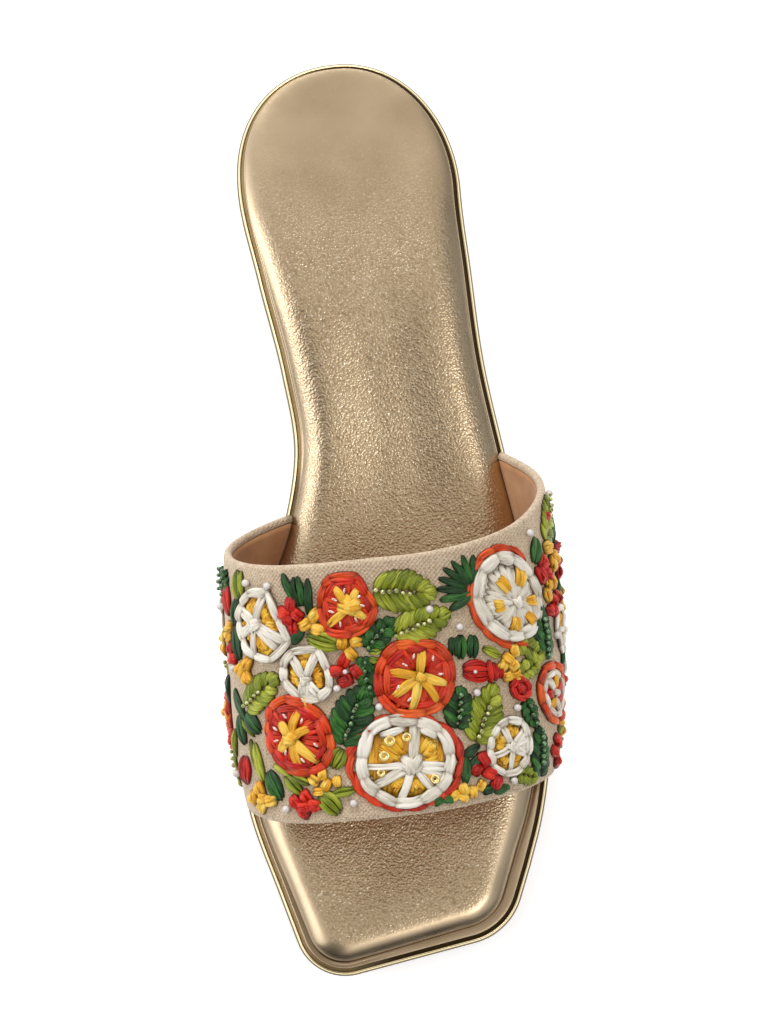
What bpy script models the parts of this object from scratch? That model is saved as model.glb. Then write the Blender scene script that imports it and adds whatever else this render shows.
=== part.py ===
"""Slide sandal for the left foot, with a wide closed strap, a padded footbed and a low heel.

The sandal stands on the floor with its toe towards -Y and its heel towards +Y.
+X is the outer (lateral) side of the foot and -X the inner (medial) side.
Sizes below are in millimetres. A place on the sandal is given as `across` (positive
towards the lateral side), `from_heel` (distance from the back of the heel) and a height.
"""

import math

import bmesh
import bpy
import numpy as np
from mathutils import Vector

MM = 0.001
GAP = 0.3  # between pieces that meet

# The sole's underside
SOLE_LENGTH = 252.0
HEEL_LIFT = 10.0  # the height of the heel block
SEAT_END = 58.0  # the heel seat is level from the back of the heel to here
TREAD_START, TREAD_END = 150.0, 192.0  # the forefoot is flat on the floor between these
TOE_SPRING = 5.0

# Layers, from the floor up
OUTSOLE_THICK = 2.0
MIDSOLE_THICK = 3.0
BOARD_THICK = 2.8  # the footbed's flat border
PAD_THICK = 6.7  # the footbed where it is padded
HEEL_PAD_THICK = 3.1  # the footbed at the back of the heel
HEEL_PAD_END = 75.0

# How far each layer stands in from the midsole's edge
OUTSOLE_INSET = 0.6
HEEL_INSET = 1.2
RIM = 2.2  # the midsole's polished rim, seen around the footbed

# The footbed: how wide its flat border is along each side, and where the middle of the pad
# starts and ends
BORDER_COLUMNS = ("from_heel", "lateral", "medial")
BORDERS = (
    (0.0, 0.3, 0.3),
    (40.0, 0.3, 0.3),
    (75.0, 0.3, 0.5),
    (120.0, 0.3, 0.3),
    (160.0, 0.6, 0.5),
    (200.0, 1.6, 0.7),
    (228.0, 2.6, 0.9),
    (244.0, 2.2, 1.3),
    (258.0, 1.5, 1.6),
)
BORDER_BLEND = 25.0
PAD_MIDDLE = (34.0, 218.0)

# The heel block
HEEL_TAPER = 1.2
HEEL_BREAST = 55.0
BREAST_HOLLOW = 3.0

# The strap
STRAP_THICK = 2.4
MARGIN_THICK = 1.0  # skived where it lies between the footbed and the midsole
MARGIN_WIDTH = 11.5
MARGIN_RADIUS = 2.3  # of the bend from the margin up into the wall
POCKET_CLEARANCE = 0.5  # around the margins, where the footbed is cut away for them
STRAP_INSET = 0.2
STRAP_ROUNDING = 0.8
BULGE_SHARE = 0.68  # where the strap is widest, as a share of the way from crown to sole

# The heel's round end: how far forward its widest place lies, its half width, and how square it is
HEEL_ROUND = {
    "lateral": {"from_heel": 38.0, "across": 31.4, "power": 2.0},
    "medial": {"from_heel": 33.0, "across": 30.6, "power": 2.2},
}

# The sole's outline along each side, from the heel's widest place to where the toe corner starts
SIDE_COLUMNS = ("place", "lateral_from_heel", "lateral", "medial_from_heel", "medial")
SIDE_STATIONS = (
    ("heel", 38.0, 31.4, 33.0, 30.6),
    ("seat_front", 60.0, 32.6, 60.0, 26.6),
    ("waist", 86.0, 34.4, 86.0, 21.8),
    ("arch", 111.0, 38.4, 107.0, 19.9),
    ("instep", 138.0, 43.3, 125.0, 23.6),
    ("ball", 167.0, 45.2, 150.0, 34.0),
    ("toe_root", 200.0, 44.3, 178.0, 41.2),
    ("toe", 214.0, 41.2, 205.0, 39.2),
    ("shoulder", 226.0, 37.2, 232.0, 31.4),
)

# The toe's two corners before rounding
TOE_CORNERS = {
    "lateral": {"from_heel": 244.0, "across": 30.4, "radius": 18.0},
    "medial": {"from_heel": 254.6, "across": 24.4, "radius": 14.0},
}

# Sections of the last under the strap, as the outside of the strap.
# The heights are above the midsole, and the bulges are the strap's half widths.
LAST_COLUMNS = ("from_heel", "crown_across", "crown_height", "lateral_bulge", "medial_bulge", "bulge_height")
LAST_SECTIONS = (
    (100.0, -5.0, 75.0, 44.0, 33.0, 28.0),
    (120.0, -5.0, 69.0, 47.2, 38.0, 26.5),
    (140.0, -4.5, 62.0, 48.8, 40.8, 24.5),
    (170.0, -3.0, 52.0, 48.9, 41.4, 21.0),
    (195.0, -2.0, 45.5, 46.2, 40.4, 18.0),
    (220.0, -2.0, 40.5, 40.4, 36.0, 16.0),
)

# The strap's rear and front edges, in steps around it: -1 at the lateral side of the sole,
# 0 at the crown, 1 at the medial side of the sole
EDGE_COLUMNS = ("around", "rear", "front")
STRAP_EDGES = (
    (-1.0, 111.5, 198.0),
    (-0.68, 122.8, 201.5),
    (-0.34, 138.6, 208.0),
    (-0.17, 142.8, 210.5),
    (0.0, 144.0, 211.5),
    (0.34, 142.6, 211.0),
    (0.68, 135.2, 206.0),
    (1.0, 124.5, 203.0),
)

# How many points each stretch is drawn with
HEEL_POINTS, SIDE_POINTS, CORNER_POINTS, FRONT_POINTS = 13, 30, 9, 4
BEND_POINTS, WALL_POINTS, ARCH_POINTS = 3, 6, 12
STRAP_STATIONS = 18
CUTTER_STATIONS = 16

# The bounding box is centred on the origin
CENTRE_ACROSS = 3.8

COLOURS = {  # base colour, metallic, roughness
    "outsole": ((0.16, 0.12, 0.09), 0.0, 0.7),
    "midsole": ((0.83, 0.66, 0.38), 1.0, 0.12),
    "heel": ((0.83, 0.66, 0.38), 1.0, 0.16),
    "footbed": ((0.52, 0.40, 0.27), 0.9, 0.42),
    "upper": ((0.56, 0.47, 0.36), 0.0, 0.9),
}


def column(rows, columns, name):
    """One named column of a table."""
    return [row[columns.index(name)] for row in rows]


def smooth(at, places, values, level_start=False):
    """The value at `at` on a smooth curve through the given values."""
    slopes = np.gradient(values, places)
    if level_start:
        slopes[0] = 0.0
    k = int(np.clip(np.searchsorted(places, at) - 1, 0, len(places) - 2))
    span = places[k + 1] - places[k]
    t = (at - places[k]) / span
    return (
        values[k] * (2 * t**3 - 3 * t**2 + 1)
        + values[k + 1] * (3 * t**2 - 2 * t**3)
        + span * slopes[k] * (t**3 - 2 * t**2 + t)
        + span * slopes[k + 1] * (t**3 - t**2)
    )


def ease(share):
    """0 to 1, starting and ending level."""
    share = min(1.0, max(0.0, share))
    return share * share * (3 - 2 * share)


def underside(from_heel):
    """Height of the outsole's underside above the floor."""
    drop = ease((from_heel - SEAT_END) / (TREAD_START - SEAT_END))
    rise = max(0.0, (from_heel - TREAD_END) / (SOLE_LENGTH - TREAD_END))
    return HEEL_LIFT * (1 - drop) + TOE_SPRING * rise**2


def midsole_top(from_heel):
    return underside(from_heel) + OUTSOLE_THICK + GAP + MIDSOLE_THICK


def half_width(side, from_heel):
    """Distance from the foot's line to the sole's edge, between the heel and the toe's corner."""
    return smooth(
        from_heel,
        column(SIDE_STATIONS, SIDE_COLUMNS, f"{side}_from_heel"),
        column(SIDE_STATIONS, SIDE_COLUMNS, side),
        level_start=True,
    )


def heel_quarter(side):
    """The outline from just beside the back of the heel to the heel's widest place."""
    shape = HEEL_ROUND[side]
    points = []
    for k in range(HEEL_POINTS):
        angle = math.pi / 2 * (k + 0.5) / (HEEL_POINTS - 0.5)
        power = 2 / shape["power"]
        across = shape["across"] * math.sin(angle) ** power
        points.append((across, shape["from_heel"] * (1 - math.cos(angle) ** power)))
    return points


def side_stretch(side):
    """The outline from the heel's widest place to the toe's corner, without its first point."""
    stations = column(SIDE_STATIONS, SIDE_COLUMNS, f"{side}_from_heel")
    places = np.linspace(stations[0], stations[-1], SIDE_POINTS + 1)[1:]
    return [(half_width(side, place), place) for place in places]


def rounded_corner(before, corner, after, radius):
    """An arc that touches the lines from `before` to `corner` and from `corner` to `after`."""
    before, corner, after = Vector(before), Vector(corner), Vector(after)
    back, on = (before - corner).normalized(), (after - corner).normalized()
    half = back.angle(on) / 2
    centre = corner + (back + on).normalized() * radius / math.sin(half)
    start = corner + back * radius / math.tan(half) - centre
    turn = (on - back).normalized()
    sweep = math.pi - 2 * half
    across = (turn - start.normalized() * turn.dot(start.normalized())).normalized()
    angles = np.linspace(0, sweep, CORNER_POINTS)
    return [centre + start * math.cos(a) + across * radius * math.sin(a) for a in angles]


def sole_outline():
    """The midsole's outline as (across, from_heel), from the back of the heel along the lateral
    side to the toe and back along the medial side. Point k lies across from point -k - 1."""
    sides = {}
    corners = {
        "lateral": (TOE_CORNERS["lateral"]["across"], TOE_CORNERS["lateral"]["from_heel"]),
        "medial": (-TOE_CORNERS["medial"]["across"], TOE_CORNERS["medial"]["from_heel"]),
    }
    for side, sign, other in (("lateral", 1, "medial"), ("medial", -1, "lateral")):
        stretch = [(sign * x, y) for x, y in heel_quarter(side) + side_stretch(side)]
        arc = rounded_corner(stretch[-1], corners[side], corners[other], TOE_CORNERS[side]["radius"])
        sides[side] = [Vector(p) for p in stretch] + arc
    toe_start, toe_end = sides["lateral"][-1], sides["medial"][-1]
    shares = [(k + 1) / (2 * FRONT_POINTS + 1) for k in range(2 * FRONT_POINTS)]
    front = [toe_start.lerp(toe_end, share) for share in shares]
    return sides["lateral"] + front + sides["medial"][::-1]


def inset(outline, distance):
    """The outline moved inwards. `distance` is a number, or one number for each point."""
    count = len(outline)
    distances = distance if isinstance(distance, list) else [distance] * count
    moved = []
    for k, point in enumerate(outline):
        along = outline[(k + 1) % count] - outline[k - 1]
        inwards = Vector((-along.y, along.x)).normalized()
        moved.append(point + inwards * distances[k])
    return moved


def towards_middle(outline, share):
    """The outline drawn in towards the line halfway between its two sides, which is shorter
    than the foot."""
    start, end = PAD_MIDDLE
    drawn = []
    for p, q in zip(outline, reversed(outline)):
        middle = (p + q) / 2
        middle.y = start + (end - start) * middle.y / SOLE_LENGTH
        drawn.append(p.lerp(middle, share))
    return drawn


def ring(outline, base, rise):
    """The outline's points in space, `rise` above the height that `base` gives."""
    return [(p.x, p.y, base(p.y) + rise) for p in outline]


def place(across, from_heel, height):
    """A point of the sandal in metres, in the sandal's own frame."""
    return Vector((across - CENTRE_ACROSS, SOLE_LENGTH / 2 - from_heel, height)) * MM


def link(name, bm, collection, smooth_below=math.radians(40)):
    """A new object from a bmesh, shaded smooth across the shallow edges."""
    bmesh.ops.recalc_face_normals(bm, faces=bm.faces)
    mesh = bpy.data.meshes.new(name)
    bm.to_mesh(mesh)
    bm.free()
    mesh.shade_smooth()
    mesh.set_sharp_from_angle(angle=smooth_below)
    made = bpy.data.objects.new(name, mesh)
    collection.objects.link(made)
    return made


def skin(bm, rings):
    """Faces between rings of equal length."""
    loops = [[bm.verts.new(place(*point)) for point in points] for points in rings]
    for low, high in zip(loops, loops[1:]):
        for k in range(len(low)):
            bm.faces.new((low[k - 1], low[k], high[k], high[k - 1]))
    return loops


def layer(name, rings, collection):
    """A solid layer of the sole from its rings, underside first. A ladder of faces across the
    foot closes the first and the last ring."""
    bm = bmesh.new()
    loops = skin(bm, rings)
    for loop in (loops[0], loops[-1]):
        for k in range(len(loop) // 2 - 1):
            bm.faces.new((loop[k], loop[k + 1], loop[-k - 2], loop[-k - 1]))
    return link(name, bm, collection)


def make_outsole(outline, collection):
    """Thin rubber under the whole foot, with its lower edge rounded."""
    profile = ((1.4, 0.0), (0.7, 0.3), (0.2, 0.8), (0.0, 1.3), (0.0, OUTSOLE_THICK))
    rings = [ring(inset(outline, OUTSOLE_INSET + d), underside, h) for d, h in profile]
    return layer("outsole", rings, collection)


def make_midsole(outline, collection):
    """The polished layer whose rounded rim shows all around the footbed."""
    profile = ((0.9, 0.0), (0.3, 0.3), (0.0, 0.9), (0.0, 1.8), (0.2, 2.5), (0.7, 2.9), (1.3, MIDSOLE_THICK))

    def base(from_heel):
        return underside(from_heel) + OUTSOLE_THICK + GAP

    return layer("midsole", [ring(inset(outline, d), base, h) for d, h in profile], collection)


def make_heel(outline, collection):
    """A low block under the heel seat, a little smaller at the floor, with a hollowed breast."""
    bm = bmesh.new()
    levels = []
    for height, tapered in ((0.0, HEEL_TAPER), (HEEL_LIFT - GAP, 0.0)):
        edge = inset(outline, HEEL_INSET + tapered)
        start = next(k for k, p in enumerate(edge) if p.y > HEEL_BREAST)
        end = next(k for k, p in enumerate(reversed(edge)) if p.y > HEEL_BREAST)
        lateral, medial = edge[start - 1], edge[len(edge) - end]
        breast = [lateral.lerp(medial, share) for share in np.linspace(0.1, 0.9, 9)]
        for point, share in zip(breast, np.linspace(0.1, 0.9, 9)):
            point.y -= BREAST_HOLLOW * math.sin(math.pi * share)
        around = edge[:start] + breast + edge[len(edge) - end :]
        levels.append([(p.x, p.y, height) for p in around])
    loops = skin(bm, levels)
    for loop in loops:
        bm.faces.new(loop)
    heel = link("heel", bm, collection)
    bevel = heel.modifiers.new("edges", "BEVEL")
    bevel.width, bevel.segments, bevel.limit_method = 0.5 * MM, 2, "ANGLE"
    bevel.angle_limit = math.radians(50)
    return heel


def border_width(across, from_heel):
    """The footbed's flat border: none at the heel, and widest at the toe."""
    share = ease((across + BORDER_BLEND) / (2 * BORDER_BLEND))
    places = column(BORDERS, BORDER_COLUMNS, "from_heel")
    lateral = smooth(from_heel, places, column(BORDERS, BORDER_COLUMNS, "lateral"))
    medial = smooth(from_heel, places, column(BORDERS, BORDER_COLUMNS, "medial"))
    return medial * (1 - share) + lateral * share


def pad_thick(from_heel):
    return HEEL_PAD_THICK + (PAD_THICK - HEEL_PAD_THICK) * ease(from_heel / HEEL_PAD_END)


def make_footbed(outline, collection):
    """The padded footbed: a flat border, a rounded roll and a pad that is a little dished.
    At the back of the heel the pad is thin and reaches the edge."""
    board = ((0.5, 0.0), (0.0, 0.4), (0.0, 2.2), (0.2, 2.7))
    # The roll's rows are the distance in from the border and the share of the pad's height, and the
    # dish's are the share of the way to the middle and the change of height.
    roll = ((0.4, 0.13), (1.2, 0.36), (2.4, 0.62), (4.0, 0.85), (6.0, 0.97), (8.0, 1.0))
    dish = ((0.35, -0.3), (0.7, -0.5))

    def base(from_heel):
        return midsole_top(from_heel) + GAP

    def padded(share):
        def top(from_heel):
            return base(from_heel) + BOARD_THICK + (pad_thick(from_heel) - BOARD_THICK) * share

        return top

    edge = inset(outline, RIM)
    rings = [ring(inset(edge, d), base, h) for d, h in board]
    borders = [border_width(p.x, p.y) for p in edge]
    rings.append(ring(inset(edge, borders), base, BOARD_THICK))
    for d, share in roll:
        drawn = inset(edge, [border + d for border in borders])
        rings.append(ring(drawn, padded(share), 0.0))
    for share, sink in dish:
        rings.append(ring(towards_middle(drawn, share), padded(1.0), sink))
    return layer("footbed", rings, collection)


def strap_section(around, from_heel):
    """A point of the strap's outside as (across, height above the midsole)."""
    places = column(LAST_SECTIONS, LAST_COLUMNS, "from_heel")
    crown, crown_height, lateral, medial, bulge_height = (
        smooth(from_heel, places, column(LAST_SECTIONS, LAST_COLUMNS, name)) for name in LAST_COLUMNS[1:]
    )
    side, bulge = ("lateral", lateral) if around < 0 else ("medial", -medial)
    share = abs(around)
    if share <= BULGE_SHARE:
        angle = math.pi / 2 * share / BULGE_SHARE
        return (
            crown + (bulge - crown) * math.sin(angle),
            bulge_height + (crown_height - bulge_height) * math.cos(angle),
        )
    foot = math.copysign(half_width(side, from_heel) - STRAP_INSET, bulge)
    foot_height = GAP + MARGIN_RADIUS
    rise = (1 - share) / (1 - BULGE_SHARE)
    return (
        foot + (bulge - foot) * math.sin(math.pi / 2 * rise),
        foot_height + (bulge_height - foot_height) * rise,
    )


def margin_section(sign, from_heel, turn):
    """A point of the lasting margin: `turn` is 0 where the wall ends, 1 where the bend lies flat
    and 2 at the margin's tip under the footbed."""
    edge = half_width("lateral" if sign > 0 else "medial", from_heel) - STRAP_INSET
    angle = math.pi / 2 * min(1.0, turn)
    inward = MARGIN_RADIUS * (1 - math.cos(angle)) + (MARGIN_WIDTH - MARGIN_RADIUS) * max(0.0, turn - 1)
    return sign * (edge - inward), GAP + MARGIN_RADIUS * (1 - math.sin(angle))


def strap_edge(around, name):
    """Where the strap starts or ends, as a distance from the back of the heel."""
    places = column(STRAP_EDGES, EDGE_COLUMNS, "around")
    return smooth(around, places, column(STRAP_EDGES, EDGE_COLUMNS, name))


def strap_columns():
    """The strap's lines from its rear edge to its front edge, from the tip of the lateral margin
    over the crown to the tip of the medial one, as (around, turn). Turn is 0 off the margin."""
    bends = [(k + 1) / BEND_POINTS for k in range(BEND_POINTS)]
    margin = [1.5, 2.0]
    wall = [1 - (1 - BULGE_SHARE) * k / WALL_POINTS for k in range(WALL_POINTS)]
    arch = [BULGE_SHARE * (1 - k / ARCH_POINTS) for k in range(ARCH_POINTS)]
    half = [(1.0, turn) for turn in reversed(bends + margin)] + [(share, 0.0) for share in wall + arch]
    return [(-around, turn) for around, turn in half] + [(0.0, 0.0)] + half[::-1]


def make_upper(collection):
    """One wide strap: an open arch of even wall, whose two margins turn in under the footbed."""
    bm = bmesh.new()
    columns = strap_columns()
    grid = []
    for around, turn in columns:
        line = []
        for station in range(STRAP_STATIONS + 1):
            share = station / STRAP_STATIONS
            from_heel = strap_edge(around, "rear") * (1 - share) + strap_edge(around, "front") * share
            if turn:
                across, height = margin_section(-math.copysign(1, around), from_heel, turn)
            else:
                across, height = strap_section(around, from_heel)
            line.append(bm.verts.new(place(across, from_heel, midsole_top(from_heel) + height)))
        grid.append(line)
    for line, following in zip(grid, grid[1:]):
        for k in range(STRAP_STATIONS):
            bm.faces.new((line[k], line[k + 1], following[k + 1], following[k]))
    upper = link("upper", bm, collection)
    thin = MARGIN_THICK / STRAP_THICK
    thickness = upper.vertex_groups.new(name="thickness")
    for k, (around, turn) in enumerate(columns):
        share = thin if turn >= 0.5 else thin + (1 - thin) * ease((1 - abs(around)) / 0.12)
        stations = STRAP_STATIONS + 1
        thickness.add(list(range(k * stations, (k + 1) * stations)), share, "REPLACE")
    wall = upper.modifiers.new("wall", "SOLIDIFY")
    wall.thickness, wall.offset, wall.use_even_offset = STRAP_THICK * MM, -1.0, True
    wall.vertex_group, wall.thickness_vertex_group = thickness.name, 0.0
    edges = upper.modifiers.new("edges", "BEVEL")
    edges.width, edges.segments, edges.limit_method = STRAP_ROUNDING * MM, 2, "ANGLE"
    edges.angle_limit = math.radians(60)
    return upper


def cut_strap_pocket(footbed, collection):
    """Makes room under the footbed's border for the strap's two margins."""
    ceiling = GAP + MARGIN_THICK + POCKET_CLEARANCE
    below, outside = 1.0, 6.0
    for side, sign in (("lateral", 1), ("medial", -1)):
        rear, front = (strap_edge(-sign, name) for name in ("rear", "front"))
        bm = bmesh.new()
        rings = []
        for from_heel in np.linspace(rear - POCKET_CLEARANCE, front + POCKET_CLEARANCE, CUTTER_STATIONS):
            edge = half_width(side, from_heel)
            inner, outer = edge - STRAP_INSET - MARGIN_WIDTH - POCKET_CLEARANCE, edge + outside
            floor = midsole_top(from_heel)
            corners = ((inner, -below), (outer, -below), (outer, ceiling), (inner, ceiling))
            rings.append([(sign * x, from_heel, floor + z) for x, z in corners])
        loops = skin(bm, rings)
        bm.faces.new(loops[0])
        bm.faces.new(loops[-1])
        cutter = link(f"{side}_pocket", bm, collection)
        cutter.hide_render, cutter.display_type = True, "WIRE"
        cut = footbed.modifiers.new(f"{side}_pocket", "BOOLEAN")
        cut.operation, cut.object = "DIFFERENCE", cutter


def paint(piece):
    """The piece's own plain material."""
    colour, metallic, roughness = COLOURS[piece.name]
    material = bpy.data.materials.new(piece.name)
    material.use_nodes = True
    shader = material.node_tree.nodes["Principled BSDF"]
    shader.inputs["Base Color"].default_value = (*colour, 1.0)
    shader.inputs["Metallic"].default_value = metallic
    shader.inputs["Roughness"].default_value = roughness
    piece.data.materials.append(material)


def main():
    for old in list(bpy.data.objects):
        bpy.data.objects.remove(old)
    sandal = bpy.data.collections.new("slide_sandal")
    helpers = bpy.data.collections.new("cutters")
    for collection in (sandal, helpers):
        bpy.context.scene.collection.children.link(collection)

    outline = sole_outline()
    footbed = make_footbed(outline, sandal)
    cut_strap_pocket(footbed, helpers)
    for piece in (
        make_outsole(outline, sandal),
        make_midsole(outline, sandal),
        make_heel(outline, sandal),
        footbed,
        make_upper(sandal),
    ):
        paint(piece)


main()
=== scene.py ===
"""Looks of the slide sandal: a padded gold footbed, a polished rim, and a linen strap with a suede
lining and raised raffia embroidery.

Lengths are in millimetres. A place on the sandal is (across, from_heel, height), as in the CAD
source. A place on the strap's cloth is (across, along): across is measured on the cloth from the
strap's crown line, positive towards the lateral side, and along is the distance from the heel."""

import math

import bpy
import numpy as np
from mathutils import Matrix, Vector


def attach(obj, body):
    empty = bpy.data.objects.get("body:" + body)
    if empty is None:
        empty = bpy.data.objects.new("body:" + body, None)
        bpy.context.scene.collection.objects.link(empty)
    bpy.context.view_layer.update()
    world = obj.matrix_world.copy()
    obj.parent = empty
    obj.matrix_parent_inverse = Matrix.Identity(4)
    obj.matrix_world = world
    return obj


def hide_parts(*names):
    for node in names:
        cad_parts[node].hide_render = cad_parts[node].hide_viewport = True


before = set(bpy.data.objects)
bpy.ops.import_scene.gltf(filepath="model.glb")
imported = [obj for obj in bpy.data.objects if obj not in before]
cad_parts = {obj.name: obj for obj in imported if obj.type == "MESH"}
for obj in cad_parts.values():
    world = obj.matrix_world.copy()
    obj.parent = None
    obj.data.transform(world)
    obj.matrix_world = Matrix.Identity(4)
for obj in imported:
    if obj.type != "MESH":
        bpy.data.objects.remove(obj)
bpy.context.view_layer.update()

MM = 0.001
BODY = "root"


def table(columns, *rows):
    """A table's columns by name, each as an array."""
    return dict(zip(columns.split(), np.array(rows, float).T, strict=True))


def named(columns, row):
    """A row's values by the names of their columns."""
    return dict(zip(columns.split(), row, strict=True))


# ---------------------------------------------------------------- the sandal's form, as in the CAD

SOLE_LENGTH = 252.0
CENTRE_ACROSS = 3.8
HEEL_LIFT, SEAT_END, TREAD_START, TREAD_END, TOE_SPRING = 10.0, 58.0, 150.0, 192.0, 5.0
LAYERS_TO_MIDSOLE = 2.3  # outsole and gap
MIDSOLE_THICK = 3.0
GAP = 0.3
RIM = 2.2  # the polished rim, seen around the footbed
BORDERS = table(
    "from_heel lateral medial",
    (0.0, 0.3, 0.3),
    (40.0, 0.3, 0.3),
    (75.0, 0.3, 0.5),
    (120.0, 0.3, 0.3),
    (160.0, 0.6, 0.5),
    (200.0, 1.6, 0.7),
    (228.0, 2.6, 0.9),
    (244.0, 2.2, 1.3),
    (258.0, 1.5, 1.6),
)
BORDER_BLEND = 25.0
BOARD_THICK, PAD_THICK = 2.8, 6.7  # the footbed's border, and where it is padded
CREASE_DEPTH = 0.3  # in the footbed's leather, between the border and the pad
HEEL_PAD_THICK, HEEL_PAD_END = 3.1, 75.0
STRAP_THICK = 2.2
BULGE_SHARE = 0.68  # where the strap is widest, as a share of the way from crown to sole
MARGIN_RADIUS = 2.3
STRAP_INSET = 0.2
WALL_FOOT = 0.1  # how high over the midsole the strap's wall ends
WALL_FOOT_SHARE = 0.05  # how far past 1 `around` runs to bring the wall down there

HEEL_ROUND = {
    "lateral": {"from_heel": 38.0, "across": 31.4, "power": 2.0},
    "medial": {"from_heel": 33.0, "across": 30.6, "power": 2.2},
}
SIDE_STATIONS = table(
    "lateral_from_heel lateral medial_from_heel medial",
    (38.0, 31.4, 33.0, 30.6),  # heel
    (60.0, 32.6, 60.0, 26.6),  # seat front
    (86.0, 34.4, 86.0, 21.8),  # waist
    (111.0, 38.4, 107.0, 19.9),  # arch
    (138.0, 43.3, 125.0, 23.6),  # instep
    (167.0, 45.2, 150.0, 34.0),  # ball
    (200.0, 44.3, 178.0, 41.2),  # toe root
    (214.0, 41.2, 205.0, 39.2),  # toe
    (226.0, 37.2, 232.0, 31.4),  # shoulder
)
TOE_CORNERS = {
    "lateral": {"from_heel": 244.0, "across": 30.4, "radius": 18.0},
    "medial": {"from_heel": 254.6, "across": 24.4, "radius": 14.0},
}
LAST_SECTIONS = table(
    "from_heel crown_across crown_height lateral_bulge medial_bulge bulge_height",
    (100.0, -5.0, 75.0, 44.0, 33.0, 28.0),
    (120.0, -5.0, 69.0, 47.2, 38.0, 26.5),
    (140.0, -4.5, 62.0, 48.8, 40.8, 24.5),
    (170.0, -3.0, 52.0, 48.9, 41.4, 21.0),
    (195.0, -2.0, 45.5, 46.2, 40.4, 18.0),
    (220.0, -2.0, 40.5, 40.4, 36.0, 16.0),
)
STRAP_EDGES = table(
    "around rear front",
    (-1.0, 111.5, 198.0),
    (-0.68, 122.8, 201.5),
    (-0.34, 138.6, 208.0),
    (-0.17, 142.8, 210.5),
    (0.0, 144.0, 211.5),
    (0.34, 142.6, 211.0),
    (0.68, 135.2, 206.0),
    (1.0, 124.5, 203.0),
)


def curve(at, places, values, level_start=False):
    """Values at the given places on a smooth curve through a table's values."""
    at = np.asarray(at, float)
    slopes = np.gradient(values, places)
    if level_start:
        slopes[0] = 0.0
    k = np.clip(np.searchsorted(places, at) - 1, 0, len(places) - 2)
    span = places[k + 1] - places[k]
    t = (at - places[k]) / span
    return (
        values[k] * (2 * t**3 - 3 * t**2 + 1)
        + values[k + 1] * (3 * t**2 - 2 * t**3)
        + span * slopes[k] * (t**3 - 2 * t**2 + t)
        + span * slopes[k + 1] * (t**3 - t**2)
    )


def ease(share):
    share = np.clip(share, 0.0, 1.0)
    return share * share * (3 - 2 * share)


def underside(from_heel):
    drop = ease((from_heel - SEAT_END) / (TREAD_START - SEAT_END))
    rise = np.maximum(0.0, (from_heel - TREAD_END) / (SOLE_LENGTH - TREAD_END))
    return HEEL_LIFT * (1 - drop) + TOE_SPRING * rise**2


def midsole_top(from_heel):
    return underside(from_heel) + LAYERS_TO_MIDSOLE + MIDSOLE_THICK


def half_width(side, from_heel):
    places = SIDE_STATIONS[f"{side}_from_heel"]
    return curve(from_heel, places, SIDE_STATIONS[side], level_start=True)


def rounded_corner(before, corner, after, radius, count):
    """Points of an arc that touches two lines which meet at a corner."""
    before, corner, after = Vector(before), Vector(corner), Vector(after)
    back, on = (before - corner).normalized(), (after - corner).normalized()
    half = back.angle(on) / 2
    centre = corner + (back + on).normalized() * radius / math.sin(half)
    start = corner + back * radius / math.tan(half) - centre
    turn = (on - back).normalized()
    across = (turn - start.normalized() * turn.dot(start.normalized())).normalized() * radius
    angles = np.linspace(0, math.pi - 2 * half, count)
    return [tuple(centre + start * math.cos(a) + across * math.sin(a)) for a in angles]


def sole_outline():
    """The midsole's outline as rows of (across, from_heel), from the back of the heel along the
    lateral side to the toe and back. Row k lies across from row -k - 1."""
    heel, side, corner, front = 44, 100, 26, 22  # points on each stretch of one side
    sides = {}
    tips = {
        name: (sign * TOE_CORNERS[name]["across"], TOE_CORNERS[name]["from_heel"])
        for name, sign in (("lateral", 1), ("medial", -1))
    }
    for name, sign, other in (("lateral", 1, "medial"), ("medial", -1, "lateral")):
        shape = HEEL_ROUND[name]
        angles = math.pi / 2 * (np.arange(heel) + 0.5) / (heel - 0.5)
        power = 2 / shape["power"]
        x = shape["across"] * np.sin(angles) ** power
        y = shape["from_heel"] * (1 - np.cos(angles) ** power)
        stations = SIDE_STATIONS[f"{name}_from_heel"]
        places = np.linspace(stations[0], stations[-1], side + 1)[1:]
        x = np.concatenate([x, half_width(name, places)])
        y = np.concatenate([y, places])
        stretch = list(zip(sign * x, y))
        radius = TOE_CORNERS[name]["radius"]
        sides[name] = stretch + rounded_corner(stretch[-1], tips[name], tips[other], radius, corner)
    ends = np.array([sides["lateral"][-1], sides["medial"][-1]])
    shares = (np.arange(2 * front) + 1)[:, None] / (2 * front + 1)
    straight = ends[0] * (1 - shares) + ends[1] * shares
    return np.concatenate([sides["lateral"], straight, sides["medial"][::-1]])


def inset(outline, distance):
    """The outline moved inwards by a distance, or by one distance for each point."""
    along = np.roll(outline, -1, 0) - np.roll(outline, 1, 0)
    inwards = np.stack([-along[:, 1], along[:, 0]], 1)
    inwards /= np.linalg.norm(inwards, axis=1, keepdims=True)
    return outline + inwards * np.reshape(distance, (-1, 1))


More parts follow.
